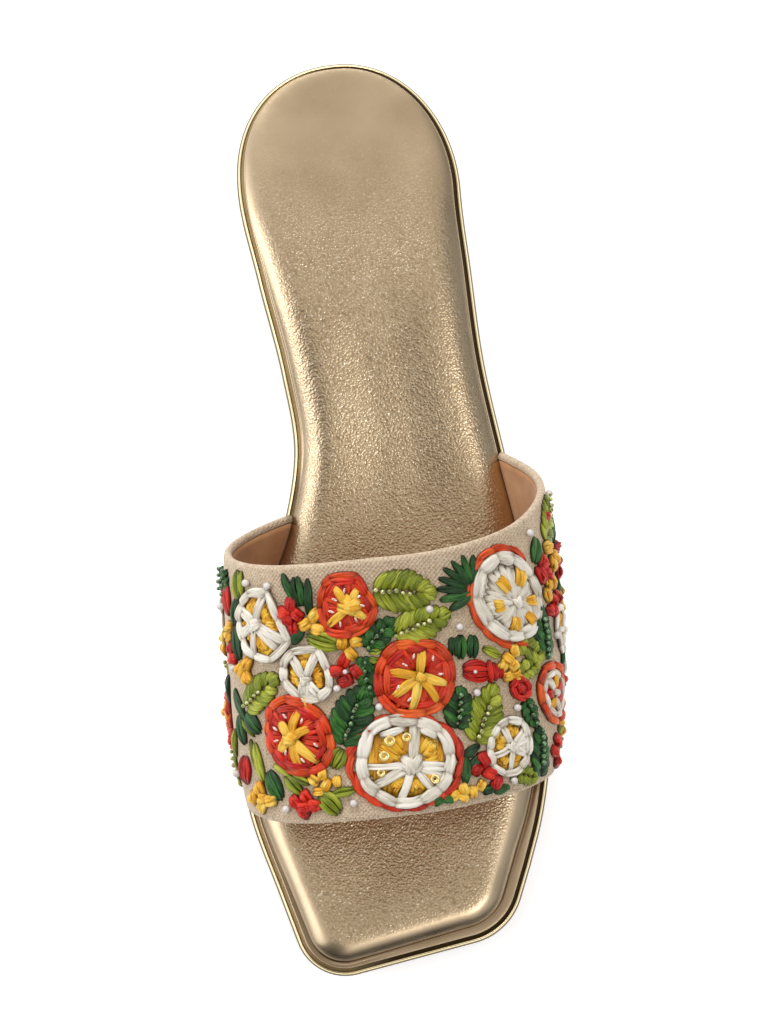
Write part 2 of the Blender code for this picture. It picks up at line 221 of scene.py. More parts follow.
def strap_section(around, from_heel):
    """Across and height above the midsole of the strap's outside. Around runs from -1, lateral, over
    the crown at 0 to 1, medial, and a little further down to the midsole."""
    places, *sections = LAST_SECTIONS.values()
    crown, crown_height, lateral_bulge, medial_bulge, bulge_height = (
        curve(from_heel, places, values) for values in sections
    )
    lateral = around < 0
    sign = np.where(lateral, 1.0, -1.0)
    bulge = np.where(lateral, lateral_bulge, medial_bulge) * sign
    edge = np.where(lateral, half_width("lateral", from_heel), half_width("medial", from_heel))
    share = np.abs(around)
    angle = math.pi / 2 * np.minimum(1.0, share / BULGE_SHARE)
    over_x = crown + (bulge - crown) * np.sin(angle)
    over_z = bulge_height + (crown_height - bulge_height) * np.cos(angle)
    foot_x, foot_z = sign * (edge - STRAP_INSET), GAP + MARGIN_RADIUS
    rise = np.clip((1 - share) / (1 - BULGE_SHARE), 0, 1)
    wall_x = foot_x + (bulge - foot_x) * np.sin(math.pi / 2 * rise)
    wall_z = foot_z + (bulge_height - foot_z) * rise
    drop = np.clip((share - 1) / WALL_FOOT_SHARE, 0, 1)
    wall_z = wall_z - drop * (foot_z - WALL_FOOT)
    on_wall = share > BULGE_SHARE
    return np.where(on_wall, wall_x, over_x), np.where(on_wall, wall_z, over_z)


def strap_edge(around, name):
    return curve(np.clip(around, -1, 1), STRAP_EDGES["around"], STRAP_EDGES[name])


def place(across, from_heel, height):
    """Rows of points in metres, in the sandal's frame."""
    return np.stack([across - CENTRE_ACROSS, SOLE_LENGTH / 2 - from_heel, height], -1) * MM


def strap_point(around, from_heel):
    across, height = strap_section(around, from_heel)
    return place(across, from_heel, midsole_top(from_heel) + height)


def strap_normal(around, from_heel):
    """Unit vectors out of the strap's outside."""
    step = 1e-3
    around_way = strap_point(around + step, from_heel) - strap_point(around - step, from_heel)
    toe_way = strap_point(around, from_heel + step) - strap_point(around, from_heel - step)
    out = np.cross(around_way, toe_way)
    return out / np.linalg.norm(out, axis=-1, keepdims=True)


# ---------------------------------------------------------------- meshes


def new_mesh(name, points, faces, material):
    """A smooth object of the given points and faces that rides with the sandal."""
    mesh = bpy.data.meshes.new(name)
    mesh.from_pydata([tuple(p) for p in points], [], [tuple(f) for f in faces])
    mesh.validate()
    mesh.shade_smooth()
    mesh.materials.append(material)
    made = bpy.data.objects.new(name, mesh)
    bpy.context.scene.collection.objects.link(made)
    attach(made, BODY)
    return made


def number_attribute(obj, name, values):
    data = obj.data.attributes.new(name, "FLOAT", "POINT")
    data.data.foreach_set("value", np.asarray(values, np.float32))


def corner_map(obj, name, uv):
    """A UV map from one pair of numbers for each point."""
    uv_layer = obj.data.uv_layers.new(name=name)
    corners = np.empty(len(obj.data.loops), np.int32)
    obj.data.loops.foreach_get("vertex_index", corners)
    uv_layer.uv.foreach_set("vector", np.asarray(uv, np.float32)[corners].ravel())


def ring_faces(rings, count):
    faces = []
    for r in range(rings - 1):
        low, high = r * count, (r + 1) * count
        for k in range(count):
            on = (k + 1) % count
            faces.append((low + k, high + k, high + on, low + on))
    return faces


def ladder(start, count, flip):
    """Faces across a ring, between the points that lie across from each other."""
    faces = []
    for k in range(count // 2 - 1):
        face = (start + k, start + k + 1, start + count - k - 2, start + count - k - 1)
        faces.append(face[::-1] if flip else face)
    return faces


def layer(name, rings, material):
    """A closed layer of the sole from rings of (across, from_heel, height), underside first."""
    count = len(rings[0])
    faces = ring_faces(len(rings), count)
    faces += ladder(0, count, flip=False) + ladder((len(rings) - 1) * count, count, flip=True)
    points = np.concatenate([place(*rows.T) for rows in rings])
    return new_mesh(name, points, faces, material)


def ring(outline, base, rise):
    return np.column_stack([outline, base(outline[:, 1]) + rise])


# ---------------------------------------------------------------- materials


def linear(red, green, blue):
    """An everyday 0-255 colour as the linear numbers that shaders take."""
    values = np.array([red, green, blue]) / 255
    return tuple(np.where(values <= 0.04045, values / 12.92, ((values + 0.055) / 1.055) ** 2.4))


class Nodes:
    """A node tree and short ways to add nodes to it."""

    def __init__(self, tree):
        self.tree = tree

    def set_or_link(self, socket, value):
        if isinstance(value, (int, float)):
            socket.default_value = value
        elif isinstance(value, tuple):
            socket.default_value = (*value, 1) if socket.type == "RGBA" else value
        else:
            self.tree.links.new(value, socket)

    def node(self, kind, links=None, **settings):
        made = self.tree.nodes.new(kind)
        for key, value in settings.items():
            if hasattr(made, key):
                setattr(made, key, value)
            else:
                made.inputs[key.replace("_", " ")].default_value = value
        for key, source in (links or {}).items():
            self.tree.links.new(source, made.inputs[key])
        return made

    def maths(self, operation, *values):
        made = self.node("ShaderNodeMath", operation=operation)
        for socket, value in zip(made.inputs, values):
            self.set_or_link(socket, value)
        return made.outputs[0]

    def vector_maths(self, operation, *values):
        made = self.node("ShaderNodeVectorMath", operation=operation)
        for socket, value in zip(made.inputs, values):
            self.set_or_link(socket, value)
        return made

    def scaled(self, vector, by):
        made = self.vector_maths("SCALE", vector)
        self.set_or_link(made.inputs["Scale"], by)
        return made.outputs[0]

    def ramp(self, factor, *stops, interpolation="LINEAR"):
        made = self.node("ShaderNodeValToRGB", {"Fac": factor})
        made.color_ramp.interpolation = interpolation
        elements = made.color_ramp.elements
        while len(elements) < len(stops):
            elements.new(0.5)
        for element, (position, colour) in zip(elements, stops):
            element.position = position
            element.color = (*colour, 1)
        return made.outputs["Color"]

    def mix(self, factor, a, b, blend="MIX"):
        made = self.node("ShaderNodeMix", data_type="RGBA", blend_type=blend)
        for socket, value in ((made.inputs[0], factor), (made.inputs[6], a), (made.inputs[7], b)):
            self.set_or_link(socket, value)
        return made.outputs[2]


class Shader(Nodes):
    """A Principled material."""

    def __init__(self, name, colour, metallic=0.0, roughness=0.5):
        self.material = bpy.data.materials.new(name)
        self.material.use_nodes = True
        super().__init__(self.material.node_tree)
        self.main = self.tree.nodes["Principled BSDF"]
        self.finish(Base_Color=(*colour, 1), Metallic=metallic, Roughness=roughness)

    def finish(self, **values):
        for key, value in values.items():
            self.main.inputs[key.replace("_", " ")].default_value = value

    def link(self, source, socket):
        self.tree.links.new(source, self.main.inputs[socket])

    def position(self):
        return self.node("ShaderNodeTexCoord").outputs["Object"]

    def map(self, name):
        return self.node("ShaderNodeUVMap", uv_map=name).outputs["UV"]

    def attribute(self, name):
        return self.node("ShaderNodeAttribute", attribute_name=name).outputs["Fac"]

    def noise(self, vector, scale, detail=2.0):
        made = self.node("ShaderNodeTexNoise", {"Vector": vector}, Scale=scale, Detail=detail)
        return made.outputs["Fac"]

    def streaks(self, vector, scale_across, scale_along, detail):
        """Noise that is finer one way than the other."""
        scale = (scale_across, scale_along, 1.0)
        mapped = self.node("ShaderNodeMapping", {"Vector": vector}, Scale=scale).outputs["Vector"]
        return self.noise(mapped, 1.0, detail)

    def bump(self, height, distance):
        made = self.node("ShaderNodeBump", {"Height": height}, Strength=1.0, Distance=distance)
        self.link(made.outputs["Normal"], "Normal")


def gold_leather():
    """Metallic foil on finely grained leather: pebbled on the pad, smooth on the border and heel."""
    s = Shader("gold_leather", linear(208, 188, 158), metallic=1.0, roughness=0.32)
    where = s.position()
    grain = s.attribute("grain")
    crease = s.attribute("crease")
    patches = s.noise(where, 60.0, 3.0)
    pebbles = s.node("ShaderNodeTexVoronoi", {"Vector": where}, feature="SMOOTH_F1", Scale=1750.0)
    pebbles = pebbles.outputs["Distance"]
    fine = s.noise(where, 2600.0, 2.0)
    soft = s.noise(where, 210.0, 3.0)
    colour = s.ramp(patches, (0.3, linear(200, 179, 149)), (0.7, linear(211, 191, 161)))
    # Painted shade: the valleys between the pebbles are darker.
    valleys = s.ramp(pebbles, (0.2, linear(255, 255, 255)), (0.8, linear(190, 182, 172)))
    smooth = s.mix(1.0, colour, linear(246, 245, 244), "MULTIPLY")
    shaded = s.mix(s.maths("MULTIPLY", grain, 0.8), smooth, s.mix(1.0, colour, valleys, "MULTIPLY"))
    # Painted glints: small light cream specks on the grained leather.
    specks = s.ramp(s.noise(where, 1500.0, 1.0), (0.64, (0.0, 0.0, 0.0)), (0.74, (1.0, 1.0, 1.0)))
    shaded = s.mix(s.maths("MULTIPLY", specks, grain), shaded, linear(252, 242, 222))
    # Painted shade, carried by the crease attribute: dark brown at the crease, along the foot of the roll
    # and where the footbed runs under the strap.
    s.link(s.mix(s.maths("MULTIPLY", crease, 0.75), shaded, linear(84, 62, 40)), "Base Color")
    s.link(s.maths("MULTIPLY_ADD", patches, 0.12, 0.22), "Roughness")
    height = s.maths("MULTIPLY_ADD", fine, 0.45, s.maths("MULTIPLY", pebbles, -1.0))
    height = s.maths("MULTIPLY", height, grain)
    s.bump(s.maths("MULTIPLY_ADD", soft, 0.4, height), 0.00012)
    return s.material


def polished_gold():
    """The bead's polished gold, with dull paint on the midsole's side, and painted shade in the groove
    beside the footbed.
    """
    s = Shader("polished_gold", linear(240, 222, 176), metallic=1.0, roughness=0.16)
    where = s.position()
    groove, paint = s.attribute("groove"), s.attribute("paint")
    gold = s.ramp(s.noise(where, 60.0), (0.3, linear(240, 220, 172)), (0.7, linear(250, 236, 200)))
    painted = s.mix(paint, gold, linear(116, 103, 74))
    # Painted shade: the groove beside the footbed is dark brown and less metallic.
    s.link(s.mix(groove, painted, linear(78, 60, 32)), "Base Color")
    s.link(s.maths("MULTIPLY_ADD", groove, -0.6, 1.0), "Metallic")
    s.link(s.maths("MULTIPLY_ADD", groove, 0.3, s.maths("MULTIPLY_ADD", paint, 0.3, 0.13)), "Roughness")
    s.bump(s.noise(where, 260.0, 3.0), 0.00005)
    return s.material


def mottled(name, colour, patches, tones, grain, depth, **finish):
    """A material in two tones with a fine grain. Patches are the noise between the tones: how fine
    it is, and how detailed."""
    s = Shader(name, linear(*colour), **finish)
    where = s.position()
    stops = [(share, linear(*tone)) for share, tone in tones]
    s.link(s.ramp(s.noise(where, *patches), *stops), "Base Color")
    s.bump(s.noise(where, grain, 3.0), depth)
    return s


def heel_gold():
    tones = (0.3, (204, 176, 128)), (0.7, (224, 198, 152))
    finish = {"metallic": 1.0, "roughness": 0.3}
    return mottled("heel_gold", (214, 186, 138), (60.0, 2.0), tones, 420.0, 0.00006, **finish).material


def sole_rubber():
    tones = (0.35, (98, 76, 57)), (0.7, (126, 100, 76))
    return mottled("sole_rubber", (112, 88, 66), (40.0, 4.0), tones, 1400.0, 0.0001, roughness=0.62).material


def linen():
    """A plain weave of slubby natural threads, on the cloth's own map in millimetres."""
    s = Shader("linen", linear(200, 176, 148), roughness=0.9)
    s.finish(Sheen_Weight=0.2)
    uv = s.map("cloth")
    split = s.node("ShaderNodeSeparateXYZ", {"Vector": uv})
    wander = s.noise(uv, 0.5, 3.0)
    x = s.maths("MULTIPLY_ADD", wander, 1.3, split.outputs["X"])
    y = s.maths("MULTIPLY_ADD", wander, -1.1, split.outputs["Y"])
    thread_pitch = 1.24
    warp = s.maths("SINE", s.maths("MULTIPLY", x, math.tau / thread_pitch))
    weft = s.maths("SINE", s.maths("MULTIPLY", y, math.tau / thread_pitch))
    weave = s.maths("MULTIPLY", warp, weft)
    slubs, flecks = s.streaks(uv, 2.6, 0.3, 3.0), s.streaks(uv, 0.3, 2.6, 3.0)
    tone = s.maths("ADD", s.maths("MULTIPLY", slubs, 0.5), s.maths("MULTIPLY", flecks, 0.5))
    tone = s.maths("MULTIPLY_ADD", weave, 0.06, tone)
    dark, middle, light = linear(178, 154, 126), linear(206, 185, 158), linear(224, 207, 184)
    cloth = s.ramp(tone, (0.36, dark), (0.52, middle), (0.72, light))
    specks = s.ramp(s.noise(uv, 1.9, 1.0), (0.7, (1.0, 1.0, 1.0)), (0.76, linear(150, 126, 104)))
    s.link(s.mix(1.0, cloth, specks, "MULTIPLY"), "Base Color")
    s.bump(s.maths("ADD", weave, s.maths("MULTIPLY", tone, 1.4)), 0.0001)
    return s.material


def suede():
    tones = (0.3, (170, 118, 74)), (0.75, (200, 150, 104))
    s = mottled("suede", (184, 132, 88), (130.0, 5.0), tones, 2200.0, 0.0001, roughness=0.95)
    s.finish(Sheen_Weight=0.3)
    return s.material


def raffia(name, dark, middle, light):
    """Flat glossy straw: streaks and fine fibres along each stitch, a tone of its own for each stitch,
    and painted shade on its low sides where it meets its neighbours."""
    s = Shader(name, middle, roughness=0.4)
    s.finish(Specular_IOR_Level=0.35, Coat_Weight=0.14, Coat_Roughness=0.25)
    uv = s.map("stitch")
    coarse, fibres = s.streaks(uv, 2.4, 0.22, 2.0), s.streaks(uv, 7.0, 0.5, 2.0)
    grain = s.maths("MULTIPLY_ADD", coarse, 0.65, s.maths("MULTIPLY", fibres, 0.35))
    tone = s.maths("MULTIPLY_ADD", s.attribute("shade"), 0.14, grain)
    colour = s.ramp(tone, (0.24, dark), (0.48, middle), (0.74, light))
    shadow, half_shadow, white = (0.05, 0.04, 0.03), (0.55, 0.5, 0.46), (1.0, 1.0, 1.0)
    # Painted shade: darker where the strand is low at its sides and ends.
    sides = s.ramp(s.attribute("rise"), (0.1, shadow), (0.5, half_shadow), (0.74, white))
    s.link(s.mix(1.0, colour, sides, "MULTIPLY"), "Base Color")
    s.bump(grain, 0.0004)
    return s.material


def pearl():
    s = Shader("pearl", linear(214, 206, 202), roughness=0.14)
    s.finish(Coat_Weight=0.8)
    # Painted shade: the base colour darkens towards the pearl's outline as seen from the camera.
    facing = s.node("ShaderNodeLayerWeight", Blend=0.45).outputs["Facing"]
    s.link(s.ramp(facing, (0.1, linear(226, 220, 216)), (0.9, linear(150, 138, 134))), "Base Color")
    return s.material


def glass_bead(name, colour, light):
    s = Shader(name, colour, metallic=0.4, roughness=0.1)
    s.finish(Coat_Weight=0.9)
    s.link(s.ramp(s.noise(s.position(), 700.0), (0.35, colour), (0.65, light)), "Base Color")
    return s.material


# ---------------------------------------------------------------- the sole


def border_width(across, from_heel):
    """The footbed's flat border: none at the heel, and widest at the toe."""
    share = ease((across + BORDER_BLEND) / (2 * BORDER_BLEND))
    places, lateral, medial = BORDERS.values()
    medial_width, lateral_width = curve(from_heel, places, medial), curve(from_heel, places, lateral)
    return medial_width * (1 - share) + lateral_width * share


def pad_thick(from_heel):
    return HEEL_PAD_THICK + (PAD_THICK - HEEL_PAD_THICK) * ease(from_heel / HEEL_PAD_END)


# Paint is the midsole side's dull paint; groove is how much of the groove's painted shade each ring takes.
BEAD = table(
    "distance_in height paint groove",
    (0.9, 0.0, 1.0, 0.0),
    (0.35, 0.2, 1.0, 0.0),
    (0.06, 0.7, 1.0, 0.0),
    (0.0, 1.3, 1.0, 0.0),
    (0.08, 1.7, 1.0, 0.0),
    (0.18, 1.95, 1.0, 0.0),
    (0.28, 2.12, 1.0, 0.0),
    (0.4, 2.32, 1.0, 0.0),
    (0.48, 2.46, 0.2, 0.0),
    (0.66, 2.74, 0.0, 0.0),
    (0.8, 2.9, 0.0, 0.0),
    (0.93, 2.97, 0.0, 0.0),
    (1.02, 2.96, 0.0, 0.0),
    (1.1, 2.87, 0.0, 0.4),
    (1.18, 2.72, 0.0, 1.0),
    (1.35, 2.58, 0.0, 1.0),
    (2.2, 2.5, 0.0, 1.0),
    (3.2, 2.5, 0.0, 1.0),
)


def make_rim(outline, material):
    """The midsole: a polished bead between its painted side and the groove beside the footbed, with
    painted shade in the groove, lighter on the medial side."""

    def base(from_heel):
        return underside(from_heel) + LAYERS_TO_MIDSOLE

    rings = [ring(inset(outline, d), base, h) for d, h in zip(BEAD["distance_in"], BEAD["height"])]
    made = layer("midsole_rim", rings, material)
    number_attribute(made, "paint", np.repeat(BEAD["paint"], len(outline)))
    # The groove's painted shade is lighter on the medial side.
    lighter, blend = 0.6, 16.0
    shade = 1.0 - lighter * ease(-outline[:, 0] / blend)
    number_attribute(made, "groove", np.outer(BEAD["groove"], shade).ravel())
    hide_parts("midsole")


def softened(outline, spread):
    """The outline with rounder corners: each point averaged with its neighbours."""
    steps = np.arange(-3 * spread, 3 * spread + 1).astype(int)
    weights = np.exp(-0.5 * (steps / max(spread, 0.5)) ** 2)
    moved = [np.roll(outline, step, 0) * weight for step, weight in zip(steps, weights)]
    return sum(moved) / weights.sum()


def footbed_base(from_heel):
    return midsole_top(from_heel) + GAP


def pebbled(from_heel):
    """How strongly the leather is grained: hardly at the heel."""
    return 0.05 + 0.95 * ease((from_heel - 14.0) / 60.0)


def footbed_border(edge, border, creased, shade_under_strap):
    """Rings from the underside up around the border to the crease beside the roll, and how much
    painted shade each ring gets."""
    board = ((0.5, 0.0), (0.12, 0.12), (0.0, 0.4), (0.0, 2.3), (0.03, 2.56), (0.11, 2.72), (0.24, 2.79))
    rings = [ring(inset(edge, d), footbed_base, h) for d, h in board]
    rings.append(ring(inset(edge, border - 0.04 - 0.4 * creased), footbed_base, BOARD_THICK))
    rings.append(ring(inset(edge, border), footbed_base, BOARD_THICK - CREASE_DEPTH * creased))
    medial = ease(-edge[:, 0] / 12.0)
    # Painted shade along the crease line, more on the medial side, and where the footbed runs under the
    # strap.
    seam = np.maximum((0.35 + 0.35 * medial) * creased, shade_under_strap)
    shades = [shade_under_strap] * (len(board) - 1) + [seam] * 2 + [np.maximum(creased, shade_under_strap)]
    return rings, shades


def make_footbed(outline, material):
    """Leather over padding: a smooth border, a crease, a full roll with rounder corners, and a dished
    pad whose rings close in on the middle line. At the heel the pad is thin and nearly flat."""
    shaded_foot, fold_end, fullness = 0.14, 0.05, 2.7
    heel_roll, fuller, narrower_toe = 5.0, 5.5, 2.2
    roll_steps = (0.02, 0.045, 0.08, 0.12, 0.17, 0.23, 0.3, 0.38, 0.47, 0.57, 0.67, 0.78, 0.89, 1.0)
    pad_steps = np.linspace(0, 0.97, 22)[1:]
    corner_spread, middle_start, middle_end, dish_depth = 9.0, 36.0, 214.0, 0.9
    strap_start, strap_end = 110.0, 210.0
    edge = inset(outline, RIM)
    count = len(edge)
    toe = ease((edge[:, 1] - 195.0) / 30.0)
    roll_width = heel_roll + fuller * ease(edge[:, 1] / 60.0) - narrower_toe * toe
    border = border_width(edge[:, 0], edge[:, 1])
    creased = ease((border - 0.3) / 0.7)
    # Painted shade where the footbed runs under the strap.
    shade_under_strap = ease((edge[:, 1] - strap_start) / 8) * ease((strap_end - edge[:, 1]) / 8)
    rings, crease = footbed_border(edge, border, creased, shade_under_strap)
    grain = [np.zeros(count)] * len(rings)
    for s in roll_steps:
        drawn = softened(inset(edge, border + roll_width * s), corner_spread * s)
        full = 1 - (1 - s) ** fullness
        dip = CREASE_DEPTH * creased * max(0.0, 1 - s / fold_end)
        height = BOARD_THICK + (pad_thick(drawn[:, 1]) - BOARD_THICK) * full - dip
        rings.append(ring(drawn, footbed_base, height))
        grain_start = 0.42 * ease((drawn[:, 1] - 190.0) / 30.0)
        grain.append(ease((s - grain_start) / 0.4) * pebbled(drawn[:, 1]))
        # Painted shade at the foot of the roll, and beside the fold under the strap.
        foot, fold = max(0.0, 1 - s / shaded_foot), max(0.0, 1 - s / fold_end)
        crease.append(np.maximum(foot * creased, fold * shade_under_strap))
    along = np.clip(drawn[:, 1], middle_start, middle_end)
    middle = np.column_stack([(half_width("lateral", along) - half_width("medial", along)) / 2, along])
    for s in pad_steps:
        inner = drawn * (1 - s) + middle * s
        height = pad_thick(inner[:, 1]) - dish_depth * ease(s / 0.8)
        rings.append(ring(inner, footbed_base, height))
        grain.append(pebbled(inner[:, 1]))
        crease.append(np.zeros(count))
    made = layer("footbed_leather", rings, material)
    number_attribute(made, "grain", np.concatenate(grain))
    number_attribute(made, "crease", np.concatenate(crease))
    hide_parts("footbed")


# ---------------------------------------------------------------- the strap's cloth


class Cloth:
    """The strap's outside as a sheet that can be drawn on in millimetres. Its points and normals are
    worked out once for each square millimetre."""

    ALONG = np.arange(104.0, 218.1, 1.0)
    ACROSS = np.arange(-98.0, 108.1, 1.0)

    def __init__(self):
        around = np.linspace(-1, 1, 401)
        at, along = np.meshgrid(around, self.ALONG)
        points = strap_point(at, along)
        steps = np.linalg.norm(np.diff(points, axis=1), axis=-1) / MM
        across = np.concatenate([np.zeros((len(points), 1)), np.cumsum(steps, axis=1)], axis=1)
        self.around = np.empty((len(self.ALONG), len(self.ACROSS)))
        for row in range(len(self.ALONG)):
            measured = across[row, len(around) // 2] - across[row]
            self.around[row] = np.interp(self.ACROSS, measured[::-1], around[::-1])
        along = np.repeat(self.ALONG[:, None], len(self.ACROSS), 1)
        self.points = strap_point(self.around, along)
        self.normals = strap_normal(self.around, along)

    def at(self, across, along, height):
        """Points in metres at a height above the cloth."""
        row = np.clip(along - self.ALONG[0], 0, len(self.ALONG) - 1.001)
        col = np.clip(across - self.ACROSS[0], 0, len(self.ACROSS) - 1.001)
        r, c = row.astype(int), col.astype(int)
        dr, dc = (row - r)[:, None], (col - c)[:, None]

        def read(grid):
            near = grid[r, c] * (1 - dc) + grid[r, c + 1] * dc
            far = grid[r + 1, c] * (1 - dc) + grid[r + 1, c + 1] * dc
            return near * (1 - dr) + far * dr

        return read(self.points) + read(self.normals) * height[:, None] * MM

    def across_at(self, around, along):
        """Where places given by their `around` and from_heel lie across the cloth."""
        rows = np.clip(along - self.ALONG[0], 0, len(self.ALONG) - 1).round().astype(int)
        found = [np.interp(a, self.around[row][::-1], self.ACROSS[::-1]) for a, row in zip(around, rows)]
        return np.array(found)


def strap_loop(turn_in, shell):
    """The linen's section in four stretches: around the rear edge, over the outside, around the front
    edge and back inside. Each row says where it is, as a distance in from the rear or front edge or
    as a share of the way between them, and how deep in the strap's wall."""
    radius = STRAP_THICK / 2
    turns = np.linspace(math.pi / 2, -math.pi / 2, 9)
    rounding = [(radius - radius * math.cos(a), radius + radius * math.sin(a)) for a in turns]
    inside = [(d, STRAP_THICK) for d in np.linspace(turn_in, radius + 0.4, 4)]
    rear = [("rear", d, depth) for d, depth in inside + rounding]
    front = [("front", d, depth) for d, depth in reversed(inside + rounding)]
    outside = [("share", s, 0.0) for s in np.linspace(0, 1, 62)[1:-1]]
    back = [("share", s, STRAP_THICK - shell) for s in np.linspace(1, 0, 40)]
    return rear, outside, front, back


def strap_columns():
    limit = 1 + WALL_FOOT_SHARE
    feet = np.linspace(1, limit, 4)[1:]
    return np.concatenate([-feet[::-1], np.linspace(-1, 1, 189), feet])


def strap_rings(around, loop, turn_in):
    """The loop's points in metres for each column around the strap, and their from_heel."""
    rear, front = strap_edge(around, "rear"), strap_edge(around, "front")
    radius = STRAP_THICK / 2
    points, along = [], []
    for kind, value, depth in loop:
        if kind == "rear":
            from_heel = rear + value
        elif kind == "front":
            from_heel = front - value
        elif depth == 0.0:
            from_heel = rear + radius + (front - rear - 2 * radius) * value
        else:
            from_heel = rear + turn_in + (front - rear - 2 * turn_in) * value
        points.append(strap_point(around, from_heel) - strap_normal(around, from_heel) * depth * MM)
        along.append(from_heel)
    return np.array(points), np.array(along)


def tube_mesh(name, points, material):
    """A closed mesh from points[ring place, column], with flat ends."""
    size, columns = points.shape[:2]
    faces = []
    for k in range(size):
        on = (k + 1) % size
        for c in range(columns - 1):
            low, high = k * columns + c, on * columns + c
            faces.append((low, high, high + 1, low + 1))
    faces.append([k * columns for k in range(size)][::-1])
    faces.append([k * columns + columns - 1 for k in range(size)])
    return new_mesh(name, points.reshape(-1, 3), faces, material)


def make_strap(cloth, linen_material, lining_material):
    """The linen is turned over both edges, and the suede lining starts a little way inside them."""
    turn_in, shell = 1.7, 0.5
    around = strap_columns()
    rear, outside, front, back = strap_loop(turn_in, shell)
    points, along = strap_rings(around, (rear + outside + front + back)[::-1], turn_in)
    made = tube_mesh("strap_linen", points, linen_material)
    across = np.array([cloth.across_at(around, line) for line in along])
    corner_map(made, "cloth", np.stack([across, along], -1).reshape(-1, 2))
    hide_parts("upper")

    seam, proud, buried = 0.3, 0.12, 0.06
    shares = np.linspace(0.0, 1.0, 46)
    face = [("share", s, STRAP_THICK + proud * math.sin(math.pi * s) ** 0.2) for s in shares]
    hidden = [("share", s, STRAP_THICK - shell + buried) for s in shares[::-1]]
    points, _ = strap_rings(around, face + hidden, turn_in + seam)
    lining = tube_mesh("strap_lining", points, lining_material)


# ---------------------------------------------------------------- embroidery


class Stitches:
    """Raised stitches of one colour, gathered into one mesh."""

    OFFSETS = np.array([-0.5, -0.49, -0.4, -0.27, -0.13, 0.0, 0.13, 0.27, 0.4, 0.49, 0.5])
    LIFTS = (  # how the flat straw is rounded or folded, from side to side
        np.array([0.0, 0.56, 0.9, 0.98, 0.94, 0.99, 1.0, 0.96, 0.88, 0.56, 0.0]),
        np.array([0.0, 0.6, 0.96, 1.0, 0.82, 0.56, 0.8, 0.96, 0.9, 0.56, 0.0]),
        np.array([0.0, 0.54, 0.84, 0.58, 0.88, 1.0, 0.98, 0.92, 0.84, 0.54, 0.0]),
        np.array([0.0, 0.56, 0.9, 0.98, 0.86, 0.94, 1.0, 0.62, 0.86, 0.54, 0.0]),
    )

    def __init__(self, seed):
        self.points, self.faces, self.uvs, self.shades, self.rises = [], [], [], [], []
        self.count = 0
        self.random = np.random.default_rng(seed)

    def strand(self, path, width, height=1.2, base=0.0, end=0.4, steps=8, point=0.0):
        """A padded ribbon of straw along a path on the cloth. It goes down into the cloth at its
        ends, whose width is a share of the full one. Point makes the far end narrower."""
        crowding, uneven_width, uneven_height, drift = 0.07, 0.07, 0.06, 0.05
        path = np.asarray(path, float)
        lengths = np.concatenate([[0], np.cumsum(np.linalg.norm(np.diff(path, axis=0), axis=1))])
        u = np.linspace(0, 1, steps + 1)
        u = u - crowding * np.sin(math.tau * u)
        centre = np.stack([np.interp(u * lengths[-1], lengths, path[:, k]) for k in (0, 1)], 1)
        along = np.gradient(centre, axis=0)
        along /= np.linalg.norm(along, axis=1, keepdims=True)
        side = np.stack([-along[:, 1], along[:, 0]], 1)
        wave = np.sin(math.tau * (u * self.random.uniform(0.6, 1.4) + self.random.uniform(0, 1)))
        swell = np.sin(math.pi * u) ** 0.5
        wide = width * (end + (1 - end) * swell) * (1 - point * u**2) * (1 + uneven_width * wave)
        arch = 0.1 + 0.9 * np.sin(math.pi * (0.03 + 0.94 * u)) ** 0.5
        high = height * arch * (1 - uneven_height * wave)
        centre = centre + side * (drift * width * wave * np.sin(math.pi * u))[:, None]
        start, finish = (self.LIFTS[k] for k in self.random.integers(len(self.LIFTS), size=2))
        if self.random.uniform() < 0.5:
            start, finish = start[::-1], finish[::-1]
        lift = start * (1 - u[:, None]) + finish * u[:, None]
        flat = centre[:, None] + side[:, None] * (wide[:, None] * self.OFFSETS)[..., None]
        rise = base * (high / height)[:, None] + high[:, None] * lift
        rows, size = lift.shape
        self.points.append(np.concatenate([flat.reshape(-1, 2), rise.reshape(-1, 1)], 1))
        index = self.count + np.arange(rows * size).reshape(rows, size)
        on = np.roll(index, -1, 1)
        quads = np.stack([index[:-1], on[:-1], on[1:], index[1:]], -1).reshape(-1, 4)
        self.faces += quads.tolist()
        self.faces += [index[0][::-1].tolist(), index[-1].tolist()]
        shift = self.random.uniform(0, 60)
        v = np.repeat(u * lengths[-1] + shift, size)
        self.uvs.append(np.stack([np.tile(self.OFFSETS, rows) * width + shift, v], 1))
        self.shades.append(np.full(rows * size, self.random.uniform(-1, 1)))
        # How high each point stands in its strand, low at the sides and ends; the raffia darkens the low
        # parts with painted shade.
        tip = np.sin(math.pi * np.clip(0.08 + 0.84 * u, 0, 1)) ** 0.6
        self.rises.append((tip[:, None] * lift).ravel())
        self.count += rows * size

    def knot(self, across, along, radius, base=0.0):
        """A plump short stitch, doubled over itself."""
        turn = math.radians(self.random.uniform(0, 180))
        step = np.array([math.cos(turn), math.sin(turn)]) * radius
        middle = np.array([across, along])
        aside = np.array([-step[1], step[0]]) * 0.34
        path = [middle - step, middle + aside * 0.3, middle + step]
        self.strand(path, radius * 1.5, radius * 0.85, base, end=0.66)
        ends = [middle - step * 0.7 + aside, middle + step * 0.75 + aside]
        self.strand(ends, radius * 0.72, radius * 0.5, base + radius * 0.55, end=0.5, steps=6)

    def build(self, name, cloth, material):
        flat = np.concatenate(self.points)
        sunk = 0.05
        points = cloth.at(flat[:, 0], flat[:, 1], flat[:, 2] - sunk)
        made = new_mesh(name, points, self.faces, material)
        corner_map(made, "stitch", np.concatenate(self.uvs))
        number_attribute(made, "shade", np.concatenate(self.shades))
        number_attribute(made, "rise", np.concatenate(self.rises))


